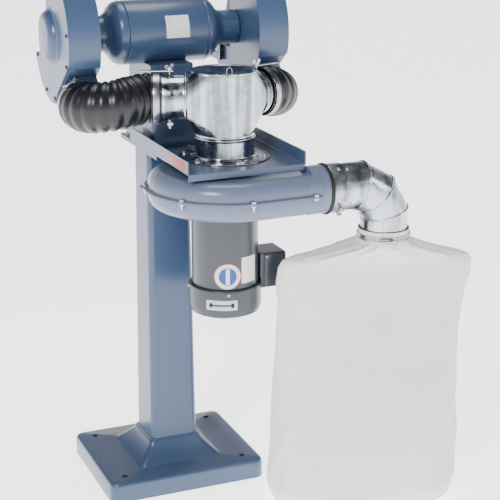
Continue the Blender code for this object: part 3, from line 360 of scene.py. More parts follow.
@dataclass(frozen=True)
class Woven(Finish):
    """Filter cloth: a plain weave, soft creases and a light nap. Threads of 0.6 mm are drawn at 2.2 mm."""

    thread_mm: float = 2.2

    def detail(self, tree: bpy.types.NodeTree, shader: bpy.types.Node, place: bpy.types.NodeSocket) -> None:
        """Add the weave, the creases and a faint grey of settled dust.

        Args:
            tree: The material's node tree.
            shader: The principled shader.
            place: Object coordinates in metres.
        """
        weft = add_node(tree, "TexWave", {"bands_direction": "Z"},
                        {"Vector": place, "Scale": 314 / self.thread_mm / 2, "Distortion": 0.6})
        warp = add_node(tree, "TexWave", {"bands_direction": "X"},
                        {"Vector": place, "Scale": 314 / self.thread_mm / 2, "Distortion": 0.6})
        weave = add_node(tree, "Math", {"operation": "ADD"}, {0: weft.outputs["Fac"], 1: warp.outputs["Fac"]})
        soil = cloudy(tree, place, 90.0, 5.0, 0.6)
        self.tint(tree, shader, soil, 0.90, 1.04)
        crease = cloudy(tree, place, 48.0, 3.0, 0.45)
        fine = add_node(tree, "Math", {"operation": "MULTIPLY"}, {0: weave.outputs[0], 1: 0.10})
        both = add_node(tree, "Math", {"operation": "ADD"}, {0: crease, 1: fine.outputs[0]})
        self.bump(tree, shader, both.outputs[0], 0.38, 0.0045)
        shader.inputs["Sheen Weight"].default_value = 0.3
        shader.inputs["Sheen Roughness"].default_value = 0.6


@dataclass(frozen=True)
class Abrasive(Finish):
    """Vitrified abrasive: packed grains with dark pores between them."""

    grit_mm: float = 1.2

    def detail(self, tree: bpy.types.NodeTree, shader: bpy.types.Node, place: bpy.types.NodeSocket) -> None:
        """Add the grains.

        Args:
            tree: The material's node tree.
            shader: The principled shader.
            place: Object coordinates in metres.
        """
        grains = add_node(tree, "TexVoronoi", None, {"Vector": place, "Scale": 1000 / self.grit_mm})
        shade = add_node(tree, "SeparateColor", None, {0: grains.outputs["Color"]}).outputs[0]
        self.tint(tree, shader, shade, 0.6, 1.35)
        self.bump(tree, shader, grains.outputs["Distance"], 0.8, 0.0008)


@dataclass(frozen=True)
class Clear(Finish):
    """Clear polycarbonate sheet with hairline scratches."""

    def detail(self, tree: bpy.types.NodeTree, shader: bpy.types.Node, place: bpy.types.NodeSocket) -> None:
        """Let light through and add the scratches.

        Args:
            tree: The material's node tree.
            shader: The principled shader.
            place: Object coordinates in metres.
        """
        shader.inputs["Transmission Weight"].default_value = 0.92
        shader.inputs["IOR"].default_value = 1.58
        drawn = add_node(tree, "Mapping", None, {"Vector": place, "Scale": (1.0, 20.0, 1.0)})
        scratches = cloudy(tree, drawn.outputs[0], 30.0, 4.0, 0.7)
        self.rough(tree, shader, scratches, 0.08)


BLUE = Enamel("blue_grey_enamel", "grinder_paint", "#3b5070", 0.30)
PALE_BLUE = Enamel("pale_blue_enamel", "blower_paint", "#65708a", 0.28)
GREY = Enamel("grey_enamel", "motor_paint", "#30363f", 0.32)
SHEET = Galvanised("spangled_galvanised_sheet", "galvanised_sheet", "#bcc2ca", 0.20, 1.0)
BAND = Machined("stainless_band", "galvanised_sheet", "#a9abaf", 0.24, 1.0)
STEEL = Machined("machined_steel", "bright_steel", "#c4c5c8", 0.30, 1.0)
PLATED = Machined("zinc_plated_steel", "galvanised_sheet", "#d2d2cf", 0.30, 1.0)
BLACK_SCREW = Moulded("blackened_steel", "black_rubber", "#17181a", 0.34)
RUBBER = Moulded("black_hose_rubber", "black_rubber", "#101116", 0.32)
GASKET = Moulded("black_foam_gasket", "black_rubber", "#101112", 0.60)
BAG_CLOTH = Woven("off_white_filter_cloth", "cloth", "#f1efec", 0.90)
STONE = Abrasive("grey_abrasive", "abrasive", "#7d7d7b", 0.92)
SHIELD = Clear("clear_polycarbonate", "clear_shield", "#eef4f4", 0.08)
WINDING = Machined("enamelled_copper_wire", "copper_windings", "#b4623a", 0.45, 0.8)
RED = Moulded("red_plastic", "switch_plastic", "#a51d20", 0.32)
PAPER = Moulded("white_label", "grinder_paint", "#dfe1e4", 0.45, grain_mm=3.0, depth=0.03)
SILVER_LABEL = Machined("silver_label", "motor_paint", "#b9bdc4", 0.36, 0.7)
NAVY_INK = Moulded("navy_ink", "motor_paint", "#274a8c", 0.42, grain_mm=3.0, depth=0.03)
RED_INK = Moulded("red_ink", "motor_paint", "#c0343c", 0.42, grain_mm=3.0, depth=0.03)
# Dark print for the turn arrows. On the band clamp the same finish is painted shade standing in for the dark
# insides of the slots.
DARK_INK_AND_PAINTED_SHADE = Moulded("dark_ink_and_painted_slot_shade", "motor_paint", "#191b1e", 0.70)
BLOTTER = Moulded("wheel_blotter", "abrasive", "#2f4a86", 0.75, grain_mm=1.5)


# ---- mesh helpers ----
def axis_turn(axis: Point) -> Matrix:
    """The turn that takes +Z onto a direction."""
    return Vector((0, 0, 1)).rotation_difference(Vector(axis)).to_matrix().to_4x4()


def turned(profile: Profile, axis: Point = (0, 0, 1), centre: Point = (0, 0, 0), closed: bool = False,
           steps: int = SMOOTH) -> bmesh.types.BMesh:
    """Spin a profile about an axis.

    Args:
        profile: Points of radius and distance along the axis.
        axis: The axis's direction.
        centre: Where the distance is zero.
        closed: Whether the profile's last point joins its first.
        steps: Segments round the axis.

    Returns:
        The spun mesh.
    """
    bm = bmesh.new()
    points = [bm.verts.new((radius, 0, along)) for radius, along in profile]
    pairs = list(zip(points, points[1:]))
    if closed:
        pairs.append((points[-1], points[0]))
    edges = [bm.edges.new(pair) for pair in pairs]
    bmesh.ops.spin(bm, geom=points + edges, angle=math.tau, steps=steps, axis=(0, 0, 1), cent=(0, 0, 0),
                   use_merge=True)
    bmesh.ops.remove_doubles(bm, verts=bm.verts, dist=1e-6)
    bmesh.ops.transform(bm, matrix=Matrix.Translation(centre) @ axis_turn(axis), verts=bm.verts)
    return bm


def softened(profile: Profile, radius: float = 0.001, closed: bool = False, steps: int = 3) -> Profile:
    """Round the corners of a profile.

    Args:
        profile: The corner points.
        radius: How far from a corner the rounding starts.
        closed: Whether the ends are corners too.
        steps: Segments of each rounding.

    Returns:
        The longer profile.
    """
    points = [Vector(point) for point in profile]
    count = len(points)
    made: list[tuple[float, float]] = []
    for index, here in enumerate(points):
        if not closed and index in (0, count - 1):
            made.append(tuple(here))
            continue
        back = points[index - 1] - here
        ahead = points[(index + 1) % count] - here
        if back.length < 1e-9 or ahead.length < 1e-9:
            made.append(tuple(here))
            continue
        reach = min(radius, back.length * 0.45, ahead.length * 0.45)
        start, end = here + back.normalized() * reach, here + ahead.normalized() * reach
        for step in range(steps + 1):
            share = step / steps
            made.append(tuple((1 - share) ** 2 * start + 2 * share * (1 - share) * here + share ** 2 * end))
    return made


def rod(radius: float, start: float, end: float, axis: Point = (0, 0, 1), centre: Point = (0, 0, 0),
        steps: int = SMOOTH, edge: float = 0.0) -> bmesh.types.BMesh:
    """A solid cylinder along an axis.

    Args:
        radius: Its radius.
        start: Where it starts along the axis.
        end: Where it ends.
        axis: The axis's direction.
        centre: Where the distance is zero.
        steps: Segments round the axis.
        edge: Rounding of its two rims.

    Returns:
        The cylinder.
    """
    profile: Profile = [(0, start), (radius, start), (radius, end), (0, end)]
    if edge:
        profile = softened(profile, edge)
    return turned(profile, axis, centre, steps=steps)


def ring(inner: float, outer: float, start: float, end: float, axis: Point = (0, 0, 1),
         centre: Point = (0, 0, 0), edge: float = 0.0005) -> bmesh.types.BMesh:
    """A cylinder with a bore and rounded rims."""
    profile = [(inner, start), (outer, start), (outer, end), (inner, end)]
    return turned(softened(profile, edge, closed=True), axis, centre, closed=True)


def block(low: Point, high: Point, edge: float = 0.0, segments: int = 3) -> bmesh.types.BMesh:
    """A box between two corners with rounded edges.

    Args:
        low: The lowest corner.
        high: The highest corner.
        edge: Rounding of the edges.
        segments: Segments of the rounding.

    Returns:
        The box.
    """
    bm = bmesh.new()
    bmesh.ops.create_cube(bm, size=1.0)
    bmesh.ops.scale(bm, vec=[abs(b - a) for a, b in zip(low, high)], verts=bm.verts)
    if edge:
        bmesh.ops.bevel(bm, geom=list(bm.edges), offset=edge, segments=segments, profile=0.5,
                        affect="EDGES", clamp_overlap=True, material=-1)
    bmesh.ops.translate(bm, vec=[(a + b) / 2 for a, b in zip(low, high)], verts=bm.verts)
    return bm


def loft(rings: Sequence[Sequence[Point]], closed: bool = False) -> bmesh.types.BMesh:
    """Bridge rings of points in order, with end caps or as a closed loop.

    Args:
        rings: Equal rings of points.
        closed: Whether the last ring joins the first.

    Returns:
        The skinned mesh.
    """
    bm = bmesh.new()
    loops = []
    for points in rings:
        verts = [bm.verts.new(point) for point in points]
        loops.append([bm.edges.new((verts[at - 1], verts[at])) for at in range(len(verts))])
    pairs = list(zip(loops, loops[1:]))
    if closed:
        pairs.append((loops[-1], loops[0]))
    for lower, upper in pairs:
        bmesh.ops.bridge_loops(bm, edges=lower + upper)
    if not closed:
        for loop in (loops[0], loops[-1]):
            bmesh.ops.contextual_create(bm, geom=loop)
    bmesh.ops.recalc_face_normals(bm, faces=bm.faces)
    return bm


def prism(outline: Sequence[tuple[float, float]], low: float, high: float,
          put: Callable[[float, float, float], Point]) -> bmesh.types.BMesh:
    """A flat outline extruded from low to high.

    Args:
        outline: Points of (u, v).
        low: The first level.
        high: The last level.
        put: Turns u, v and a level into a point.

    Returns:
        The prism.
    """
    bm = bmesh.new()
    face = bm.faces.new([bm.verts.new(put(u, v, low)) for u, v in outline])
    made = bmesh.ops.extrude_face_region(bm, geom=[face])
    moved = [item for item in made["geom"] if isinstance(item, bmesh.types.BMVert)]
    u, v = outline[0]
    bmesh.ops.translate(bm, vec=Vector(put(u, v, high)) - Vector(put(u, v, low)), verts=moved)
    if not bm.faces or face.is_valid and len(bm.faces) == len(outline) + 1:
        bmesh.ops.contextual_create(bm, geom=[edge for edge in bm.edges if edge.is_boundary])
    bmesh.ops.recalc_face_normals(bm, faces=bm.faces)
    return bm


def circle(centre: Point, radius: float, across: Vector, up: Vector, steps: int = SMOOTH) -> list[Vector]:
    """A circle of points in the plane of two directions."""
    return [Vector(centre) + radius * (math.cos(math.tau * step / steps) * across
                                       + math.sin(math.tau * step / steps) * up) for step in range(steps)]


def rounded_rectangle(half_u: float, half_v: float, radius: float,
                      steps: int = 8) -> list[tuple[float, float]]:
    """The points of a rectangle with round corners, anticlockwise."""
    points = []
    for corner, (sign_u, sign_v) in enumerate(((1, 1), (-1, 1), (-1, -1), (1, -1))):
        for step in range(steps + 1):
            angle = math.radians(90 * corner + 90 * step / steps)
            points.append((sign_u * (half_u - radius) + radius * math.cos(angle),
                           sign_v * (half_v - radius) + radius * math.sin(angle)))
    return points


def level_ring(half_x: float, half_y: float, radius: float, height: float,
               centre: Point = (0, 0)) -> list[Point]:
    """A rounded rectangle lying flat at a height."""
    return [(centre[0] + x, centre[1] + y, height) for x, y in rounded_rectangle(half_x, half_y, radius)]


def hull(rings: Iterable[Iterable[Point]]) -> bmesh.types.BMesh:
    """The convex skin over several rings of points."""
    bm = bmesh.new()
    for points in rings:
        for point in points:
            bm.verts.new(point)
    made = bmesh.ops.convex_hull(bm, input=bm.verts)
    loose = [item for item in made["geom_interior"] if isinstance(item, bmesh.types.BMVert)]
    bmesh.ops.delete(bm, geom=loose, context="VERTS")
    return bm


def joined(parts: Iterable[bmesh.types.BMesh]) -> bmesh.types.BMesh:
    """Several meshes as one."""
    whole = bmesh.new()
    for part in parts:
        scrap = bpy.data.meshes.new("scrap")
        part.to_mesh(scrap)
        part.free()
        whole.from_mesh(scrap)
        bpy.data.meshes.remove(scrap)
    return whole


def carved(body: bmesh.types.BMesh, steps: Sequence[tuple[str, bmesh.types.BMesh]]) -> bmesh.types.BMesh:
    """Add to and cut from a solid.

    Args:
        body: The solid to start from.
        steps: Pairs of UNION or DIFFERENCE and the other solid.

    Returns:
        The finished solid.
    """
    scraps = []
    for index, bm in enumerate([body, *[other for _, other in steps]]):
        bmesh.ops.recalc_face_normals(bm, faces=bm.faces)
        mesh = bpy.data.meshes.new("scrap")
        bm.to_mesh(mesh)
        bm.free()
        scrap = bpy.data.objects.new("scrap" + str(index), mesh)
        bpy.context.scene.collection.objects.link(scrap)
        scraps.append(scrap)
    for (operation, _), scrap in zip(steps, scraps[1:]):
        cut = scraps[0].modifiers.new("cut", "BOOLEAN")
        cut.operation = operation
        cut.solver = "EXACT"
        cut.object = scrap
    bpy.context.view_layer.update()
    done = bmesh.new()
    done.from_mesh(scraps[0].evaluated_get(bpy.context.evaluated_depsgraph_get()).to_mesh())
    for scrap in scraps:
        mesh = scrap.data
        bpy.data.objects.remove(scrap, do_unlink=True)
        bpy.data.meshes.remove(mesh)
    bmesh.ops.remove_doubles(done, verts=done.verts, dist=1e-5)
    return done


def screw(position: Point, axis: Point, size: float, head: Head = Head.HEX,
          turn: float = 0.0) -> bmesh.types.BMesh:
    """A screw head, with a washer under a hexagon.

    Args:
        position: The middle of the seat.
        axis: Outwards from the seat.
        size: The head's radius.
        head: The head's shape.
        turn: Angle of the hexagon or slot.

    Returns:
        The head.
    """
    spin = Matrix.Rotation(turn, 4, "Z")
    whole = Matrix.Translation(position) @ axis_turn(axis) @ spin
    if head is Head.HEX:
        cap = turned([(0, size * 0.2), (size, size * 0.2), (size, size * 0.75), (size * 0.86, size * 0.9),
                      (0, size * 0.9)], steps=6)
        washer = rod(size * 1.25, -0.0004, size * 0.2, steps=24, edge=size * 0.05)
        bm = joined([cap, washer])
    elif head is Head.PAN:
        cap = turned([(0, -0.0004), (size, -0.0004), (size, size * 0.25), (size * 0.8, size * 0.55),
                      (size * 0.4, size * 0.68), (0, size * 0.7)], steps=24)
        slots = [block((-size * 0.6, -size * 0.1, size * 0.35), (size * 0.6, size * 0.1, size)),
                 block((-size * 0.1, -size * 0.6, size * 0.35), (size * 0.1, size * 0.6, size))]
        bm = carved(cap, [("DIFFERENCE", slots[0]), ("DIFFERENCE", slots[1])])
    else:
        cap = rod(size, -0.0004, size * 1.1, steps=24, edge=size * 0.12)
        bm = carved(cap, [("DIFFERENCE", rod(size * 0.55, size * 0.4, size * 1.6, steps=6))])
    bmesh.ops.transform(bm, matrix=whole, verts=bm.verts)
    return bm


def make_piece(name: str, bm: bmesh.types.BMesh, finish: Finish, body: str, replaced: Sequence[str] = (),
               bevel: float = 0.0, crisp: float = 35.0) -> bpy.types.Object:
    """Turn a mesh into a finished piece on a body.

    Args:
        name: The piece's name.
        bm: Its mesh, in place.
        finish: Its finish.
        body: The body that it moves with.
        replaced: The solids that it stands for.
        bevel: Width of the small bevel on its sharp edges.
        crisp: Edges sharper than this many degrees stay sharp.

    Returns:
        The piece's object.
    """
    bmesh.ops.remove_doubles(bm, verts=bm.verts, dist=1e-6)
    bmesh.ops.recalc_face_normals(bm, faces=bm.faces)
    mesh = bpy.data.meshes.new(name)
    bm.to_mesh(mesh)
    bm.free()
    mesh.shade_smooth()
    made = bpy.data.objects.new(name, mesh)
    bpy.context.scene.collection.objects.link(made)
    if bevel:
        step = made.modifiers.new("edge", "BEVEL")
        step.width = bevel
        step.segments = 2
        step.limit_method = "ANGLE"
        step.angle_limit = math.radians(crisp)
        weight = made.modifiers.new("faces", "WEIGHTED_NORMAL")
        weight.keep_sharp = True
    else:
        mesh.set_sharp_from_angle(angle=math.radians(crisp))
    mesh.materials.append(finish.build())
    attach(made, body)
    if replaced:
        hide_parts(*replaced)
    log.info("piece %s on %s, %d faces", name, body, len(mesh.polygons))
    return made


def refined(node: str, name: str, finish: Finish, body: str, bevel: float) -> bpy.types.Object:
    """A copy of a solid with its flat faces whole and its edges rounded.

    Args:
        node: The solid to copy.
        name: The new piece's name.
        finish: Its finish.
        body: The body that it moves with.
        bevel: Width of the rounding.

    Returns:
        The piece's object.
    """
    bm = bmesh.new()
    bm.from_mesh(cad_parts[node].data)
    bmesh.ops.remove_doubles(bm, verts=bm.verts, dist=1e-5)
    bmesh.ops.dissolve_limit(bm, angle_limit=math.radians(1), verts=bm.verts, edges=bm.edges)
    return make_piece(name, bm, finish, body, [node], bevel=bevel)


def at_spindle(x: float, y: float = 0.0, z: float = 0.0) -> Vector:
    """A point given from the middle of the spindle."""
    return SPINDLE + Vector((x, y, z))


def spun(profile: Profile, side: Side = Side.RIGHT, closed: bool = False,
         steps: int = SMOOTH) -> bmesh.types.BMesh:
    """A profile of (radius, distance outwards from the middle) spun about the spindle's line."""
    flipped = [(radius, side.value * along) for radius, along in profile]
    return turned(flipped, (1, 0, 0), SPINDLE, closed, steps)


def stub_way(side: Side) -> Vector:
    """The way an inlet stub leaves the manifold."""
    return Vector((side.value * math.cos(STUB_ANGLE), math.sin(STUB_ANGLE), 0))


def stub_point(side: Side, distance: float) -> Vector:
    """A point on a stub's axis."""
    return AXIS + Vector((0, 0, STUB_Z)) + distance * stub_way(side)


# ---- sub-assemblies ----
@dataclass
class Pedestal:
    """Cast base, tapered column, top plate and the folded tray for the dust collector."""

    base_half: tuple[float, float] = (0.1835, 0.1539)
    hole_spacing: tuple[float, float] = (0.1418, 0.1170)
    column_low: float = 0.0550
    column_high: float = 0.0484
    column_foot: float = 0.0909
    column_top: float = 0.7650
    tray_x: tuple[float, float] = (-0.0595, 0.1985)
    tray_y: tuple[float, float] = (-0.3280, 0.0400)

    def base(self) -> bmesh.types.BMesh:
        """The casting: a plate with rounded shoulders that rises to the column, with four bolt holes."""
        half_x, half_y = self.base_half
        rows = [(half_x, half_y, 0.020, 0.0), (half_x, half_y, 0.020, 0.0370),
                (half_x - 0.0008, half_y - 0.0008, 0.020, 0.0405),
                (half_x - 0.0030, half_y - 0.0030, 0.018, 0.0435),
                (half_x - 0.0070, half_y - 0.0070, 0.016, 0.0450),
                (0.1010, 0.1010, 0.014, 0.0460), (0.0960, 0.0960, 0.014, 0.0475),
                (0.0700, 0.0700, 0.014, 0.0740), (0.0625, 0.0625, 0.013, 0.0840),
                (0.0605, 0.0605, 0.013, 0.0895), (0.0590, 0.0590, 0.012, 0.0906)]
        body = loft([level_ring(*row) for row in rows])
        cuts = [("DIFFERENCE", block((-half_x + 0.012, -half_y + 0.012, -0.01),
                                     (half_x - 0.012, half_y - 0.012, 0.033), 0.004))]
        for x in (-1, 1):
            for y in (-1, 1):
                centre = (x * self.hole_spacing[0], y * self.hole_spacing[1], 0)
                cuts.append(("UNION", rod(0.020, 0.0, 0.039, centre=centre, steps=32)))
                cuts.append(("DIFFERENCE", rod(0.0068, -0.01, 0.060, centre=centre, steps=32)))
        cuts.append(("UNION", rod(0.030, 0.0, 0.039, steps=32)))
        return carved(body, cuts)

    def column(self) -> bmesh.types.BMesh:
        """The tapered square tube; its weld bead is made separately in build."""
        low, high, foot, top = self.column_low, self.column_high, self.column_foot, self.column_top
        rows = [(low, low, 0.012, foot), (high, high, 0.012, top), (high - 0.004, high - 0.004, 0.008, top),
                (low - 0.004, low - 0.004, 0.008, foot)]
        tube = loft([level_ring(*row) for row in rows], closed=True)
        return tube

    def tray(self) -> bmesh.types.BMesh:
        """The folded tray: flanges up at both sides with rounded bends, and a lip down at the near edge."""
        left, right = self.tray_x
        near, far = self.tray_y
        low, wall, rise, bend = TRAY_LOW, 0.0030, 0.0296, 0.0050
        corners = [(left, low + rise), (left, low), (right, low), (right, low + rise)]
        outer = softened(corners, bend, steps=5)
        inner = softened([(left + wall, low + rise), (left + wall, low + wall), (right - wall, low + wall),
                          (right - wall, low + rise)], bend * 0.5, steps=5)
        body = prism([*outer, *inner[::-1]], near, far, lambda u, v, y: (u, y, v))
        lip = block((left + 0.002, near, low - 0.0110), (right - 0.002, near + wall, low + 0.0015), 0.0012)
        holes = [rod(0.0550, low - 0.01, low + 0.01, centre=AXIS),
                 rod(0.018, low - 0.01, low + 0.01, steps=32)]
        return carved(body, [("UNION", lip), ("DIFFERENCE", holes[0]), ("DIFFERENCE", holes[1])])

    def build(self) -> None:
        """Make every piece of the pedestal."""
        make_piece("base_casting", self.base(), BLUE, "frame", ["pedestal_base"])
        make_piece("column_tube", self.column(), BLUE, "frame", ["pedestal_column"], bevel=0.0006)
        bead = [level_ring(self.column_low + grow, self.column_low + grow, 0.013, self.column_foot + rise)
                for grow, rise in ((-0.001, -0.0002), (0.0030, -0.0002), (0.0022, 0.0018), (-0.001, 0.0036))]
        make_piece("column_weld", loft(bead), BLUE, "frame")
        refined("pedestal_top_plate", "top_plate", BLUE, "frame", 0.0012)
        make_piece("tray_sheet", self.tray(), BLUE, "frame", ["support_tray"], bevel=0.0005)
        heads = [screw((x, y, TRAY_LOW + 0.003), UP, 0.0062)
                 for x in (-0.036, 0.036) for y in (-0.100, -0.068)]
        make_piece("tray_bolts", joined(heads), PLATED, "frame")
        label = block((self.tray_x[0] - 0.0004, -0.3120, TRAY_LOW + 0.0060),
                      (self.tray_x[0] + 0.0004, -0.2100, TRAY_LOW + 0.0250), 0.0003)
        make_piece("tray_red_plate", label, RED, "frame")


@dataclass
class Grinder:
    """The grinder's foot, motor casing, shaft and switch."""

    barrel_half: float = 0.0880
    neck_radius: float = 0.0375
    foot_low: float = 0.7809

    def foot(self) -> bmesh.types.BMesh:
        """The hollow casting under the barrel, with flared feet."""
        low = self.foot_low
        top = SPINDLE.z - BARREL_RADIUS + 0.0070
        middle = (SPINDLE.x, SPINDLE.y)
        rows = [(0.0550, 0.0950, 0.010, low), (0.0550, 0.0950, 0.010, low + 0.0100), (0.0535, 0.0930, 0.010,
                low + 0.0130), (0.0505, 0.0850, 0.010, low + 0.0200), (0.0500, 0.0840, 0.010, low + 0.0300),
                (0.0480, 0.0820, 0.010, top)]
        return loft([level_ring(*row, middle) for row in rows])

    def bell(self, side: Side) -> bmesh.types.BMesh:
        """A cast end bell: a shouldered dish that narrows to the guard's neck."""
        start = self.barrel_half + FIT
        profile = [(0.0100, start), (BARREL_RADIUS, start), (BARREL_RADIUS, start + 0.0070),
                   (BARREL_RADIUS - 0.0035, start + 0.0180), (BARREL_RADIUS - 0.0130, start + 0.0270),
                   (self.neck_radius + 0.0080, start + 0.0330), (self.neck_radius, start + 0.0450),
                   (self.neck_radius, 0.1747), (0.0130, 0.1747)]
        return spun(softened(profile, 0.0060, steps=6), side, closed=True)

    def name_plate(self) -> bmesh.types.BMesh:
        """A plain plate bent round the barrel, towards the dust collector."""
        low, high = math.radians(-6), math.radians(34)
        rows = []
        for x in (-0.0080, 0.0440):
            arc = []
            for radius, turns in ((BARREL_RADIUS + 0.0009, range(13)),
                                  (BARREL_RADIUS - 0.0010, range(12, -1, -1))):
                for step in turns:
                    angle = low + (high - low) * step / 12
                    arc.append(at_spindle(x, -radius * math.cos(angle), radius * math.sin(angle)))
            rows.append(arc)
        return loft(rows)

    def build(self) -> None:
        """Make every piece of the grinder's middle."""
        make_piece("foot_casting", self.foot(), BLUE, "frame", ["grinder_foot"], bevel=0.0015)
        wall = 0.0040
        barrel = spun(softened([(BARREL_RADIUS - wall, -self.barrel_half), (BARREL_RADIUS, -self.barrel_half),
                                (BARREL_RADIUS, self.barrel_half), (BARREL_RADIUS - wall, self.barrel_half)],
                               0.0010, closed=True), closed=True)
        make_piece("barrel_shell", barrel, BLUE, "frame", ["motor_barrel"])
        make_piece("barrel_plate", self.name_plate(), PAPER, "frame")
        for side in Side:
            make_piece(side.label + "_bell_casting", self.bell(side), BLUE, "frame",
                       [side.label + "_end_bell"])
            seats = []
            for turn in (35, 125, 215, 305):
                angle = math.radians(turn)
                seat = at_spindle(side.value * 0.0990, 0.0580 * math.cos(angle), 0.0580 * math.sin(angle))
                seats.append(screw(seat, (side.value, 0, 0), 0.0052, Head.PAN, angle))
                seats.append(rod(0.0080, -0.0100, 0.0006, (side.value, 0, 0), seat, steps=32, edge=0.0005))
            make_piece(side.label + "_bell_screws", joined(seats), BLACK_SCREW, "frame")
        half = [(0.0110, 0.100), (0.0100, 0.1005), (0.0100, 0.140), (0.0095, 0.1405), (0.0095, 0.1862),
                (0.0079, 0.1866), (0.0079, 0.2355), (0.0070, 0.2365)]
        profile = [(0, -0.2365), *[(radius, -along) for radius, along in half[::-1]], *half, (0, 0.2365)]
        make_piece("arbor", spun(profile), STEEL, "arbor", ["arbor_shaft"])
        self.switch()

    def switch(self) -> None:
        """The switch plate on the operator's side, its screws and its rocker."""
        refined("switch_plate", "switch_face_plate", STEEL, "frame", 0.0008)
        seats = [screw((SPINDLE.x + x, SWITCH_FACE_Y, SWITCH_Z + z), (0, 1, 0), 0.0030, Head.PAN)
                 for x in (-0.022, 0.022) for z in (-0.032, 0.032)]
        make_piece("switch_screws", joined(seats), PLATED, "frame")
        refined("switch_toggle", "switch_rocker", RED, "switch", 0.0007)


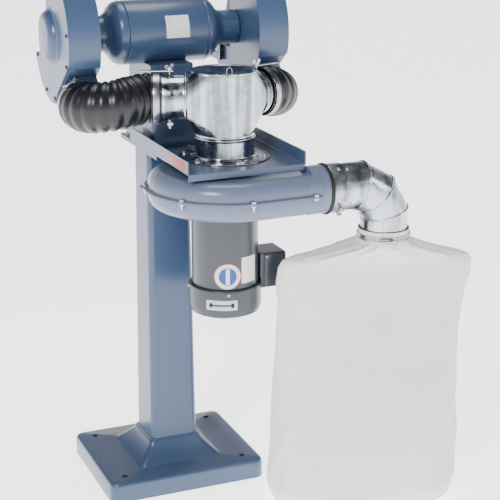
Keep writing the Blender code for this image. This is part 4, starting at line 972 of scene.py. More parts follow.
@dataclass
class GuardSet:
    """One end of the grinder: guard, cover, chute, wheel, rest and shield."""

    side: Side
    casting: float = 0.0050
    seats: tuple[int, ...] = (172, 201, 262, 292, 335, 78)

    def outline(self, radius: float, chord: float, steps: int = 72) -> list[tuple[float, float]]:
        """The guard's side outline, a circle with a flat where the chute leaves.

        Args:
            radius: The circle's radius.
            chord: Distance of the flat.
            steps: Segments round the circle.

        Returns:
            Points from the spindle.
        """
        half = math.acos(chord / radius)
        turns = [CHORD_ANGLE + half + (math.tau - 2 * half) * step / steps for step in range(steps + 1)]
        return [(radius * math.cos(turn), radius * math.sin(turn)) for turn in turns]

    def put(self, u: float, v: float, along: float) -> Point:
        """A point from the spindle's middle, with the side's sign on its distance."""
        return at_spindle(self.side.value * along, u, v)

    def chute(self, radius: float, half_width: float, half_length: float, chord: float,
              start_y: float) -> bmesh.types.BMesh:
        """The boot that leads from the guard's flat to the round outlet."""
        normal = Vector((0, math.cos(CHORD_ANGLE), math.sin(CHORD_ANGLE)))
        along = Vector((0, normal.z, -normal.y))
        middle = at_spindle(self.side.value * (GUARD_NEAR + GUARD_FAR) / 2) + chord * normal
        mouth = [middle + u * half_width * EAST + v * half_length * along
                 for u, v in ((1, 0.7), (-1, 0.7), (-1, -1), (1, -1))]
        outlet = circle((SPINDLE.x + self.side.value * CHUTE_OFFSET, start_y, CHUTE_Z), radius + 0.001, EAST,
                        UP, 64)
        return hull([mouth, outlet])

    def guard(self) -> bmesh.types.BMesh:
        """The hollow guard with its chute, collar and open front."""
        centre = (SPINDLE.x + self.side.value * CHUTE_OFFSET, 0, CHUTE_Z)
        body = prism(self.outline(GUARD_RADIUS, CHORD), GUARD_NEAR, GUARD_FAR, self.put)
        half_width = (GUARD_FAR - GUARD_NEAR) / 2
        start = CHUTE_Y + CUFF + 0.004
        steps = [("UNION", self.chute(DUCT_RADIUS, half_width - 0.001, 0.060, CHORD - 0.003, start)),
                 ("UNION", rod(DUCT_RADIUS, -start - 0.005, -CHUTE_Y - 0.002, (0, -1, 0), centre, 64)),
                 ("DIFFERENCE", prism(self.outline(GUARD_RADIUS - self.casting, CHORD - self.casting),
                                      GUARD_NEAR + self.casting, GUARD_FAR + 0.01, self.put)),
                 ("DIFFERENCE", self.chute(DUCT_RADIUS - 0.0035, half_width - 0.0065, 0.052, CHORD - 0.012,
                                           start + 0.0035)),
                 ("DIFFERENCE", rod(DUCT_RADIUS - 0.0035, -start - 0.0085, -CHUTE_Y + 0.010, (0, -1, 0),
                                    centre, 64)),
                 ("DIFFERENCE", spun([(0, 0.16), (0.0130, 0.16), (0.0130, 0.19), (0, 0.19)], self.side)),
                 ("DIFFERENCE", self.mouth())]
        return carved(body, steps)

    def mouth(self) -> bmesh.types.BMesh:
        """The part cut away in front of the wheel."""
        sides = sorted((SPINDLE.x + self.side.value * 0.16, SPINDLE.x + self.side.value * 0.30))
        return block((sides[0], SPINDLE.y + 0.030, SPINDLE.z - 0.050),
                     (sides[1], SPINDLE.y + 0.20, SPINDLE.z + 0.20))

    def cover(self) -> bmesh.types.BMesh:
        """The pressed cover with its domed middle and rolled rim."""
        near, far = GUARD_FAR + FIT, GUARD_FAR + 0.0050
        plate = prism(self.outline(GUARD_RADIUS, CHORD - 0.004), near, far, self.put)
        dome = softened([(0, near), (0.0640, near), (0.0640, far), (0.0570, far + 0.0020),
                         (0.0530, far + 0.0110),
                         (0.0440, far + 0.0170), (0, far + 0.0200)], 0.006, steps=6)
        hollow = [(0, near - 0.01), (0.0520, near - 0.01), (0.0520, far - 0.001), (0.0490, far + 0.007),
                  (0.0400, far + 0.0120), (0, far + 0.0155)]
        return carved(plate, [("UNION", spun(dome, self.side)), ("DIFFERENCE", self.mouth()),
                              ("DIFFERENCE", spun(hollow, self.side))])

    def wheel(self) -> None:
        """The wheel, its paper blotters, flanges and nut."""
        label, far, hub = self.side.label, WHEEL_NEAR + WHEEL_WIDTH, 0.0082
        stone = softened([(hub, WHEEL_NEAR), (0.1016, WHEEL_NEAR), (0.1016, far), (hub, far)], 0.0012,
                         closed=True)
        make_piece(label + "_wheel", spun(stone, self.side, True), STONE, "arbor",
                   [label + "_grinding_wheel"])
        papers = [spun(softened([(hub, at), (0.0460, at), (0.0460, at + 0.0004), (hub, at + 0.0004)], 0.0001,
                                True),
                       self.side, True) for at in (WHEEL_NEAR - 0.0003, far - 0.0001)]
        make_piece(label + "_wheel_blotters", joined(papers), BLOTTER, "arbor")
        inner = softened([(hub, 0.1866), (0.0360, 0.1866), (0.0360, WHEEL_NEAR - 0.0004),
                          (hub, WHEEL_NEAR - 0.0004)],
                         0.0006, True)
        make_piece(label + "_flange_in", spun(inner, self.side, True), STEEL, "arbor",
                   [label + "_inner_flange"])
        outer = softened([(hub, far + 0.0004), (0.0360, far + 0.0004), (0.0360, far + 0.003),
                          (0.0200, far + 0.0065),
                          (hub, far + 0.0065)], 0.0008, True)
        make_piece(label + "_flange_out", spun(outer, self.side, True), STEEL, "arbor",
                   [label + "_outer_flange"])
        nut = spun([(0, far + 0.0068), (0.0125, far + 0.0068), (0.0140, far + 0.0080), (0.0140, far + 0.0156),
                    (0.0125, far + 0.0168), (0, far + 0.0168)], self.side, steps=6)
        bored = carved(nut, [("DIFFERENCE", spun([(0, far), (hub, far), (hub, far + 0.03), (0, far + 0.03)],
                                                 self.side, steps=48))])
        make_piece(label + "_nut", bored, STEEL, "arbor", [label + "_arbor_nut"], bevel=0.0004)

    def build(self) -> None:
        """Make every piece at this end."""
        label = self.side.label
        make_piece(label + "_guard_casting", self.guard(), BLUE, "frame", [label + "_wheel_guard"],
                   bevel=0.0009)
        make_piece(label + "_cover_pressing", self.cover(), BLUE, "frame", [label + "_guard_cover"],
                   bevel=0.0008)
        heads = []
        for turn in self.seats:
            angle = math.radians(turn)
            heads.append(screw(self.put(0.1290 * math.cos(angle), 0.1290 * math.sin(angle),
                                        GUARD_FAR + 0.0050),
                               (self.side.value, 0, 0), 0.0044, Head.PAN, angle))
        make_piece(label + "_cover_screws", joined(heads), BLACK_SCREW, "frame")
        self.wheel()
        refined(label + "_rest_arm", label + "_rest_bracket", BLUE, label + "_rest_arm", 0.0008)
        refined(label + "_rest_table", label + "_rest_plate", BLUE, label + "_rest_table", 0.0007)
        bolt = screw(self.put(0.108, -0.066, 0.1725), (self.side.value, 0, 0), 0.0058)
        make_piece(label + "_rest_bolt", bolt, PLATED, "frame")
        refined(label + "_shield_bracket", label + "_shield_arm", STEEL, "frame", 0.0007)
        refined(label + "_eye_shield", label + "_shield_pane", SHIELD, label + "_eye_shield", 0.0005)


@dataclass
class Manifold:
    """Sheet metal manifold on the tray, its lid and the two inlet stubs with their dampers."""

    lid_z: float = 0.9634
    lid_radius: float = 0.0696
    collar_radius: float = 0.0621
    collar_top: float = 0.8320
    ring_radius: float = 0.0960
    stub_start: float = 0.0790

    def skin(self, inset: float) -> bmesh.types.BMesh:
        """The folded body as a skin over its top, its bottom and two inlet circles."""
        rings = [circle(AXIS + Vector((0, 0, self.lid_z - 0.004)), self.lid_radius - 0.004 - inset, EAST,
                        NORTH, 72),
                 circle(AXIS + Vector((0, 0, self.collar_top)), self.collar_radius - 0.001 - inset, EAST,
                        NORTH, 72)]
        for side in Side:
            across = stub_way(side).cross(UP)
            rings.append(circle(stub_point(side, self.stub_start), DUCT_RADIUS - inset, across, UP, 72))
        return hull(rings)

    def body(self) -> None:
        """The body, its lid with a rolled lip, the collar and its flange."""
        make_piece("manifold_skin", self.skin(0.0), SHEET, "frame", ["manifold_body"], crisp=14.0)
        z, r = self.lid_z, self.lid_radius
        lid = softened([(0, z - 0.0060), (r - 0.003, z - 0.0060), (r, z - 0.0045), (r, z), (r - 0.0030, z),
                        (r - 0.0045, z - 0.0022), (0, z - 0.0022)], 0.0012, steps=4)
        make_piece("manifold_lid", turned(lid, centre=AXIS), SHEET, "frame")
        floor, c, top = TRAY_LOW + 0.0033, self.collar_radius, self.collar_top
        collar = softened([(0.0550, floor), (self.ring_radius, floor), (self.ring_radius, floor + 0.0020),
                           (c + 0.0040, floor + 0.0022), (c, floor + 0.0060), (c, top - 0.0110),
                           (c + 0.0026, top - 0.0085),
                           (c + 0.0026, top - 0.0060), (c, top - 0.0035), (c, top + 0.0010),
                           (0.0550, top + 0.0010)],
                          0.0016, closed=True, steps=4)
        make_piece("manifold_collar", turned(collar, centre=AXIS, closed=True), SHEET, "frame", crisp=40.0)

    def trim(self) -> None:
        """The vertical seam, the hanging loop, the bent tabs and the flange's bolts."""
        toward = Vector((-0.10, -1.0, 0)).normalized()
        side_way = toward.cross(UP)
        low = AXIS + toward * (self.collar_radius - 0.0012)
        seam = []
        for height, out in ((self.collar_top, 0.0), (self.lid_z - 0.006, 0.0050)):
            middle = low + toward * out + Vector((0, 0, height))
            seam.append([middle + a * side_way + b * toward for a, b in
                         ((-0.0045, -0.0010), (-0.0045, 0.0012), (-0.0030, 0.0020), (0.0045, 0.0016),
                          (0.0045, -0.0010))])
        make_piece("manifold_seam", loft(seam), SHEET, "frame")
        loop = []
        for step in range(25):
            angle = math.pi * step / 24
            centre = AXIS + Vector((-0.0060 * math.cos(angle), -0.0300,
                                    self.lid_z - 0.0020 + 0.0100 * math.sin(angle)))
            way = Vector((-math.cos(angle) * 0.6, 0, math.sin(angle)))
            loop.append(circle(centre, 0.0011, NORTH, way.normalized(), 12))
        make_piece("manifold_loop", loft(loop), PLATED, "frame")
        tabs = []
        for turn in range(0, 360, 45):
            angle = math.radians(turn + 12)
            way = Vector((math.cos(angle), math.sin(angle), 0))
            tab = block((0, -0.0085, -0.0007), (0.0120, 0.0085, 0.0007), 0.0005)
            whole = (Matrix.Translation(AXIS + way * (self.collar_radius - 0.0005)
                                        + Vector((0, 0, TRAY_LOW + 0.0086)))
                     @ Matrix.Rotation(angle, 4, "Z") @ Matrix.Rotation(math.radians(10), 4, "Y"))
            bmesh.ops.transform(tab, matrix=whole, verts=tab.verts)
            tabs.append(tab)
        make_piece("collar_tabs", joined(tabs), SHEET, "frame")
        heads = []
        for turn in (20, 80, 140, 200, 260, 320):
            angle = math.radians(turn + 8)
            seat = (AXIS + 0.0860 * Vector((math.cos(angle), math.sin(angle), 0))
                    + Vector((0, 0, TRAY_LOW + 0.0053)))
            heads.append(screw(seat, UP, 0.0050, Head.HEX, angle))
        make_piece("collar_bolts", joined(heads), PLATED, "frame")

    def stub(self, side: Side) -> None:
        """An inlet stub with its beads, and the damper's handle and wing nut."""
        way, centre = stub_way(side), stub_point(side, 0.0)
        start, end, r = self.stub_start - 0.0010, REACH[side.value] - 0.0070, DUCT_RADIUS
        profile = [(r - 0.0015, start), (r + 0.0038, start), (r + 0.0038, start + 0.0024),
                   (r + 0.0004, start + 0.0040),
                   (r, start + 0.0060), (r, end), (r - 0.0015, end)]
        label = side.label
        make_piece(label + "_stub", turned(softened(profile, 0.0010, True), way, centre, closed=True), SHEET,
                   "frame", [label + "_inlet_stub"])
        body = label + "_damper"
        refined(label + "_damper_blade", label + "_damper_plate", SHEET, body, 0.0003)
        refined(label + "_damper_handle", label + "_damper_strip", PLATED, body, 0.0006)
        pivot = stub_point(side, DAMPER_AT[side.value])
        top = pivot + Vector((0, 0, DUCT_RADIUS + 0.0095))
        parts = [rod(0.0062, 0.0, 0.0060, centre=top, steps=32, edge=0.0008)]
        for flip in (-1, 1):
            wing = rod(0.0052, -0.0013, 0.0013, (0, 1, 0), steps=24, edge=0.0005)
            bmesh.ops.scale(wing, vec=(1.25, 1.0, 1.0), verts=wing.verts)
            bmesh.ops.transform(wing, matrix=Matrix.Translation(top + Vector((0, 0, 0.0070)))
                                @ Matrix.Rotation(math.radians(35), 4,
                                                  "Z") @ Matrix.Translation((flip * 0.0085, 0, 0))
                                @ Matrix.Rotation(flip * math.radians(-30), 4, "Y"), verts=wing.verts)
            parts.append(wing)
        foot = pivot - Vector((0, 0, DUCT_RADIUS + 0.0100))
        parts.append(turned([(0, 0), (0.0060, 0), (0.0060, 0.0050), (0, 0.0050)], centre=foot, steps=6))
        make_piece(label + "_damper_nuts", joined(parts), PLATED, body)

    def build(self) -> None:
        """Make every piece of the manifold."""
        self.body()
        self.trim()
        for side in Side:
            self.stub(side)


@dataclass
class Hose:
    """A ribbed rubber hose from a stub to a guard's chute, with a band clamp at each end."""

    side: Side
    swing_radius: float = 0.0530
    rib_pitch: float = 0.0165

    def route(self) -> list[tuple[Vector, Vector]]:
        """Follow the hose: out of the stub, a swing, a straight and a bend on to the chute.

        Returns:
            Pairs of a point and the direction there, every few millimetres.
        """
        sign = self.side.value
        first = stub_point(self.side, REACH[sign] - CUFF)
        begin = stub_point(self.side, REACH[sign])
        goal = Vector((CHUTE_OFFSET + sign * SPINDLE.x, CHUTE_Y))

        def arc(point: Vector, heading: float, radius: float, turn: float,
                count: int) -> list[tuple[Vector, float]]:
            """Points and headings along an arc."""
            bend = 1 if turn > 0 else -1
            made = []
            for step in range(1, count + 1):
                now = heading + turn * step / count
                made.append((point + bend * radius * Vector((math.sin(now) - math.sin(heading),
                                                             math.cos(heading) - math.cos(now))), now))
            return made

        def attempt(swing: float) -> list[tuple[Vector, float]]:
            """The plan route for one swing angle."""
            points = [(Vector((sign * begin.x, begin.y)), STUB_ANGLE)]
            if swing > 1e-4:
                points += arc(points[0][0], STUB_ANGLE, self.swing_radius, -swing, 24)
            last, heading = points[-1]
            turn = math.pi / 2 - heading
            bend = arc(Vector((0, 0)), heading, HOSE_BEND, turn, 48)
            straight = (goal.x - last.x - bend[-1][0].x) / math.cos(heading)
            corner = last + straight * Vector((math.cos(heading), math.sin(heading)))
            return points + [(corner + point, now) for point, now in bend]

        low, high = 0.0, math.radians(56)
        if attempt(low)[-1][0].y < goal.y + 1e-5:
            high = low
        for _ in range(40):
            middle = (low + high) / 2
            if attempt(middle)[-1][0].y > goal.y:
                low = middle
            else:
                high = middle
        plan = attempt((low + high) / 2)
        total = len(plan) - 1
        rows = [(first, stub_way(self.side))]
        for index, (point, heading) in enumerate(plan):
            share = index / total
            height = STUB_Z + (CHUTE_Z - STUB_Z) * share * share * (3 - 2 * share)
            rows.append((Vector((sign * point.x, point.y, height)),
                         Vector((sign * math.cos(heading), math.sin(heading), 0))))
        end = rows[-1][0] + Vector((0, CUFF - 0.002, 0))
        rows.append((end, NORTH.copy()))
        return rows

    def resampled(self, spacing: float = 0.0014) -> tuple[list[tuple[Vector, Vector, float]], float]:
        """The route at even spacing.

        Args:
            spacing: Distance between points.

        Returns:
            Point, direction and distance for each, and the whole length.
        """
        rows = self.route()
        lengths = [0.0]
        for (a, _), (b, _) in zip(rows, rows[1:]):
            lengths.append(lengths[-1] + (b - a).length)
        total = lengths[-1]
        count = int(total / spacing)
        made = []
        at = 0
        for step in range(count + 1):
            goal = total * step / count
            while at < len(rows) - 2 and lengths[at + 1] < goal:
                at += 1
            span = max(lengths[at + 1] - lengths[at], 1e-9)
            share = min(1.0, max(0.0, (goal - lengths[at]) / span))
            point = rows[at][0].lerp(rows[at + 1][0], share)
            way = rows[at][1].lerp(rows[at + 1][1], share).normalized()
            made.append((point, way, goal))
        return made, total

    def tube(self) -> bmesh.types.BMesh:
        """The hose's wall: plain cuffs, and between them ribs round a wire."""
        rows, total = self.resampled()
        cuff = CUFF + 0.0010
        ribs = max(3, round((total - 2 * cuff) / self.rib_pitch))
        rings = []
        for point, way, goal in rows:
            across = way.cross(UP).normalized()
            if goal < cuff or goal > total - cuff:
                radius = HOSE_RADIUS
            else:
                phase = (goal - cuff) / (total - 2 * cuff) * ribs * math.tau
                radius = HOSE_RADIUS - 0.0012 + 0.0034 * (0.5 - 0.5 * math.cos(phase)) ** 0.7
            rings.append(circle(point, radius, across, UP, 64))
        inner = [circle(point, DUCT_RADIUS + 0.0006, way.cross(UP).normalized(), UP, 64) for point, way,
                 _ in rows[::-8]]
        return loft(rings + inner, closed=True)

    def band(self, name: str, centre: Vector, way: Vector, turn: float) -> None:
        """A worm-drive band clamp.

        Args:
            name: The piece's name.
            centre: Its middle.
            way: Its axis.
            turn: Angle of the worm housing round the axis.
        """
        r = HOSE_RADIUS + 0.0004
        parts = [ring(r, r + 0.0016, -0.0065, 0.0065, edge=0.0004)]
        housing = block((-0.0090, r, -0.0068), (0.0090, r + 0.0070, 0.0068), 0.0016)
        worm = rod(0.0038, -0.0150, 0.0130, (1, 0, 0), (0, r + 0.0045, 0), 24, edge=0.0006)
        head = turned([(0, -0.0190), (0.0046, -0.0190), (0.0050, -0.0180), (0.0050, -0.0140), (0, -0.0140)],
                      (1, 0, 0),
                      (0, r + 0.0045, 0), steps=6)
        tail = block((-0.0240, r + 0.0012, -0.0055), (-0.0080, r + 0.0024, 0.0055), 0.0004)
        group = joined([housing, worm, head, tail])
        bmesh.ops.rotate(group, cent=(0, 0, 0), matrix=Matrix.Rotation(turn, 3, "Z"), verts=group.verts)
        whole = joined([parts[0], group])
        bmesh.ops.transform(whole, matrix=Matrix.Translation(centre) @ axis_turn(way), verts=whole.verts)
        make_piece(name, whole, BAND, "frame", [name.replace("_band", "_clamp")])

    def build(self) -> None:
        """Make the hose and its clamps."""
        label, sign = self.side.label, self.side.value
        make_piece(label + "_ribbed_hose", self.tube(), RUBBER, "frame", [label + "_hose"], crisp=80.0)
        self.band(label + "_stub_band", stub_point(self.side, REACH[sign] - CUFF / 2), stub_way(self.side),
                  0.6)
        chute = Vector((SPINDLE.x + sign * CHUTE_OFFSET, CHUTE_Y + CUFF / 2, CHUTE_Z))
        self.band(label + "_chute_band", chute, NORTH, 2.6)


@dataclass
class Blower:
    """Two pressed halves of the scroll, bolted through their seam, with the outlet's gasket."""

    top: float = 0.7620
    bottom: float = 0.6800
    small: float = 0.1120
    large: float = 0.1860
    pipe_radius: float = 0.0510
    pipe_start: float = 0.1860
    outlet_x: float = 0.2360
    shoulder: float = 0.0300
    flange: float = 0.0090

    def radius(self, angle: float) -> float:
        """The scroll's radius at an angle from the tongue."""
        if angle <= 0:
            return self.small
        share = 0.5 - 0.5 * math.cos(math.pi * angle / math.radians(270))
        return self.small + (self.large - self.small) * share

    def outline(self, inset: float, outlet_x: float, steps: int = 90) -> list[tuple[float, float]]:
        """The plan outline, drawn in by an inset.

        Args:
            inset: How far it is drawn in.
            outlet_x: Where the outlet's end is.
            steps: Segments round the scroll.

        Returns:
            Points in plan.
        """
        half_outlet = self.pipe_radius + 0.0022
        tongue = PIPE_OFFSET - half_outlet
        start, end = -math.asin(tongue / self.small), math.radians(270)
        points = []
        for step in range(steps + 1):
            angle = start + (end - start) * step / steps
            radius = self.radius(angle) - inset
            points.append((AXIS.x + radius * math.cos(angle), AXIS.y + radius * math.sin(angle)))
        points.append((outlet_x, AXIS.y - PIPE_OFFSET - half_outlet + inset))
        points.append((outlet_x, AXIS.y - tongue - inset))
        return points

    def half(self, sign: int) -> bmesh.types.BMesh:
        """One half: a flat side, a rounded shoulder and a wall down to the seam.

        Args:
            sign: 1 for the upper half and -1 for the lower.

        Returns:
            The half with its pipe.
        """
        far = self.top if sign > 0 else self.bottom
        edge = SEAM_Z + sign * 0.00015
        depth = abs(far - edge)
        rings = [[(x, y, edge) for x, y in self.outline(0.0, self.outlet_x - 0.020)]]
        for step in range(9):
            angle = math.radians(90 * step / 8)
            drawn = self.shoulder * (1 - math.cos(angle))
            level = edge + sign * (depth - self.shoulder + self.shoulder * math.sin(angle))
            rings.append([(x, y, level) for x, y in self.outline(drawn, self.outlet_x - 0.020)])
        body = loft(rings)
        turns = [math.pi * step / 40 for step in range(41)]
        half_pipe = [(self.pipe_radius * math.cos(turn), self.pipe_radius * math.sin(turn)) for turn in turns]
        pipe = prism(half_pipe, self.pipe_start + 0.0145, self.outlet_x,
                     lambda u, v, x: (x, AXIS.y - PIPE_OFFSET + u, edge + sign * v))
        bore = rod(self.pipe_radius - 0.0020, self.outlet_x - 0.025, self.outlet_x + 0.01, (1, 0, 0),
                   (0, AXIS.y - PIPE_OFFSET, SEAM_Z), 64)
        return carved(body, [("UNION", pipe), ("DIFFERENCE", bore)])

    def rim(self, sign: int) -> bmesh.types.BMesh:
        """The flange round one half's seam."""
        edge = SEAM_Z + sign * 0.00015
        return prism(self.outline(-self.flange, self.outlet_x - 0.024), edge, edge + sign * 0.0020,
                     lambda u, v, z: (u, v, z))

    def lugs(self) -> tuple[bmesh.types.BMesh, bmesh.types.BMesh]:
        """The bolts round the seam and the small ears under them.

        Returns:
            The bolts, and the ears.
        """
        bolts, ears = [], []
        for turn in (18, 68, 118, 170, 221, 266):
            angle = math.radians(turn)
            radius = self.radius(angle) + self.flange - 0.0040
            seat = AXIS + radius * Vector((math.cos(angle), math.sin(angle), 0)) + Vector((0, 0, SEAM_Z))
            ears.append(rod(0.0125 if turn == 170 else 0.0080, -0.0022, 0.0022, centre=seat, steps=32,
                            edge=0.0006))
            bolts.append(screw(seat + Vector((0, 0, 0.0022)), UP, 0.0048, Head.HEX, angle))
            bolts.append(screw(seat - Vector((0, 0, 0.0022)), -UP, 0.0048, Head.HEX, angle))
            bolts.append(rod(0.0024, -0.0120, 0.0, centre=seat - Vector((0, 0, 0.002)), steps=16))
        for x in (0.197,):
            seat = Vector((x, AXIS.y - PIPE_OFFSET - self.pipe_radius - 0.0022 - self.flange + 0.0045,
                           SEAM_Z))
            bolts.append(screw(seat + Vector((0, 0, 0.0022)), UP, 0.0048, Head.HEX, x))
            bolts.append(screw(seat - Vector((0, 0, 0.0022)), -UP, 0.0048, Head.HEX, x))
        return joined(bolts), joined(ears)

    def build(self) -> None:
        """Make every piece of the blower."""
        for sign, label in ((1, "upper"), (-1, "lower")):
            make_piece("scroll_" + label, self.half(sign), PALE_BLUE, "frame", ["blower_housing_" + label],
                       bevel=0.0008, crisp=40.0)
            make_piece("scroll_rim_" + label, self.rim(sign), PALE_BLUE, "frame", bevel=0.0005)
        bolts, ears = self.lugs()
        make_piece("seam_bolts", bolts, PLATED, "frame")
        make_piece("seam_ears", ears, PALE_BLUE, "frame")
        neck_low, neck_top = self.top - 0.0010, TRAY_LOW - FIT
        neck = [(0.0550, neck_low), (0.0640, neck_low), (0.0600, neck_low + 0.0030),
                (0.0590, neck_top - 0.0030),
                (0.0700, neck_top - 0.0030), (0.0700, neck_top), (0.0550, neck_top)]
        make_piece("intake_neck", turned(softened(neck, 0.0008, True), centre=AXIS, closed=True), PALE_BLUE,
                   "frame")
        near = self.outlet_x + FIT
        pad = ring(self.pipe_radius - 0.0025, self.pipe_radius + 0.0029, near, near + 0.0066, (1, 0, 0),
                   (0, AXIS.y - PIPE_OFFSET, SEAM_Z), 0.0012)
        make_piece("outlet_seal", pad, GASKET, "frame", ["outlet_gasket"])


@dataclass
class BlowerMotor:
    """The motor under the scroll: shell, vented fan cover, labels and conduit box."""

    radius: float = 0.0714
    low: float = 0.5000
    top: float = 0.6797
    cover_radius: float = 0.0783
    cover_low: float = 0.4410
    cover_high: float = 0.5060

    def patch(self, radius: float, middle: float, half_width: float, low: float, high: float,
              round_off: float, layer: int = 1) -> bmesh.types.BMesh:
        """A thin label bent round the motor.

        Args:
            radius: The surface's radius.
            middle: Angle of its middle, from +X.
            half_width: Half its width along the surface.
            low: Its lowest height.
            high: Its highest height.
            round_off: Radius of its corners.
            layer: How many printed layers deep it is.

        Returns:
            The label.
        """
        half_height = (high - low) / 2
        way = Vector((math.cos(middle), math.sin(middle), 0))
        across = UP.cross(way)
        flat = rounded_rectangle(half_width, half_height,
                                 min(round_off, 0.98 * half_width, 0.98 * half_height), 10)
        spot = AXIS + Vector((0, 0, (low + high) / 2))
        punch = loft([[spot + way * reach + across * u + UP * v for u, v in flat]
                      for reach in (radius * 0.5, radius * 1.2)])
        return carved(ring(radius - 0.0010, radius + 0.0004 * layer, low - 0.01, high + 0.01, centre=AXIS),
                      [("INTERSECT", punch)])

    def fan_cover(self) -> bmesh.types.BMesh:
        """The pressed cup under the motor with its rolled rim and vent slots."""
        r, low, high = self.cover_radius, self.cover_low, self.cover_high
        cup = [(0, low), (r - 0.0150, low), (r - 0.0030, low + 0.0060), (r, low + 0.0200), (r, high - 0.0030),
               (r - 0.0010, high), (self.radius + 0.0004, high), (self.radius + 0.0004, low + 0.0240),
               (r - 0.0170, low + 0.0050), (0, low + 0.0040)]
        cuts = []
        for step in range(-4, 5):
            reach = math.sqrt(max(0.0, 0.056 ** 2 - (0.0115 * step) ** 2))
            cuts.append(("DIFFERENCE", block((AXIS.x - reach, AXIS.y + 0.0115 * step - 0.0022, low - 0.01),
                                             (AXIS.x + reach, AXIS.y + 0.0115 * step + 0.0022, low + 0.02),
                                             0.0015)))
        return carved(turned(softened(cup, 0.0030, steps=4), centre=AXIS), cuts)

    def build(self) -> None:
        """Make every piece of the motor."""
        r, low, top = self.radius, self.low, self.top
        shell = softened([(0.0180, top - 0.0060), (r - 0.0040, top - 0.0060), (r - 0.0040, low), (r, low),
                          (r, top - 0.0160), (r + 0.0012, top - 0.0150), (r + 0.0012, top - 0.0080),
                          (r, top - 0.0070), (r, top), (0.0180, top)], 0.0012, True)
        make_piece("motor_shell", turned(shell, centre=AXIS, closed=True), GREY, "frame",
                   ["blower_motor_shell"])
        make_piece("motor_fan_cover", self.fan_cover(), GREY, "frame", ["fan_cover"])
        heads = []
        for turn in (-118, -28, 62, 152):
            angle = math.radians(turn + 12)
            way = Vector((math.cos(angle), math.sin(angle), 0))
            heads.append(screw(AXIS + self.cover_radius * way + Vector((0, 0, 0.4980)), way, 0.0034, Head.PAN,
                               0.4))
        for turn in (20, 110, 200, 290):
            angle = math.radians(turn)
            way = Vector((math.cos(angle), math.sin(angle), 0))
            heads.append(screw(AXIS + 0.0620 * way + Vector((0, 0, self.cover_low + 0.0006)), -UP, 0.0030,
                               Head.PAN))
        make_piece("motor_screws", joined(heads), PLATED, "frame")
        for layer, (reach, finish, part) in enumerate(((0.0285, RED_INK, "rim"), (0.0270, PAPER, "ring"),
                                                       (0.0190, NAVY_INK, "middle"))):
            badge = self.patch(r, math.radians(-107), reach, 0.5370 - reach, 0.5370 + reach, reach, layer + 1)
            make_piece("motor_badge_" + part, badge, finish, "frame")
        stripe = self.patch(r, math.radians(-107), 0.0042, 0.5200, 0.5540, 0.0010, 4)
        make_piece("motor_badge_stripe", stripe, PAPER, "frame")
        make_piece("motor_name_plate", self.patch(r, math.radians(-66), 0.0200, 0.5190, 0.5760, 0.0020),
                   PAPER,
                   "frame")
        wide = self.cover_radius
        make_piece("turn_plate", self.patch(wide, math.radians(-117), 0.0330, 0.4640, 0.4860, 0.0016),
                   SILVER_LABEL,
                   "frame")
        shaft = self.patch(wide, math.radians(-117), 0.0240, 0.4733, 0.4767, 0.0006, 2)
        heads_of_arrow = []
        for sign in (-1, 1):
            tip = self.patch(wide, math.radians(-117) + sign * 0.30, 0.0035, 0.4700, 0.4800, 0.0030, 3)
            heads_of_arrow.append(tip)
        make_piece("turn_arrows", joined([shaft, *heads_of_arrow]), DARK_INK_AND_PAINTED_SHADE, "frame")
        refined("conduit_box", "terminal_box", GREY, "frame", 0.0008)
        low_x = AXIS.x + r - 0.0040
        lid = block((low_x + 0.0090, AXIS.y - 0.0372, 0.4925), (low_x + 0.0590, AXIS.y - 0.0348, 0.5655),
                    0.0010)
        make_piece("terminal_box_lid", lid, GREY, "frame")
        seats = [screw((low_x + x, AXIS.y - 0.0370, z), (0, -1, 0), 0.0028, Head.PAN, 0.3) for x, z in
                 ((0.0150, 0.5600), (0.0540, 0.4980))]
        make_piece("terminal_box_screws", joined(seats), PLATED, "frame")
        gland = [ring(0.0075, 0.0125, 0.0, 0.0060, (1, 0, 0), (low_x + 0.0598, AXIS.y, 0.515), 0.0006)]
        nut = turned([(0.0078, 0.0060), (0.0140, 0.0060), (0.0140, 0.0115), (0.0078, 0.0115)], (1, 0, 0),
                     (low_x + 0.0598, AXIS.y, 0.515), True, 6)
        make_piece("cord_gland", joined([*gland, nut]), BLACK_SCREW, "frame", bevel=0.0004)


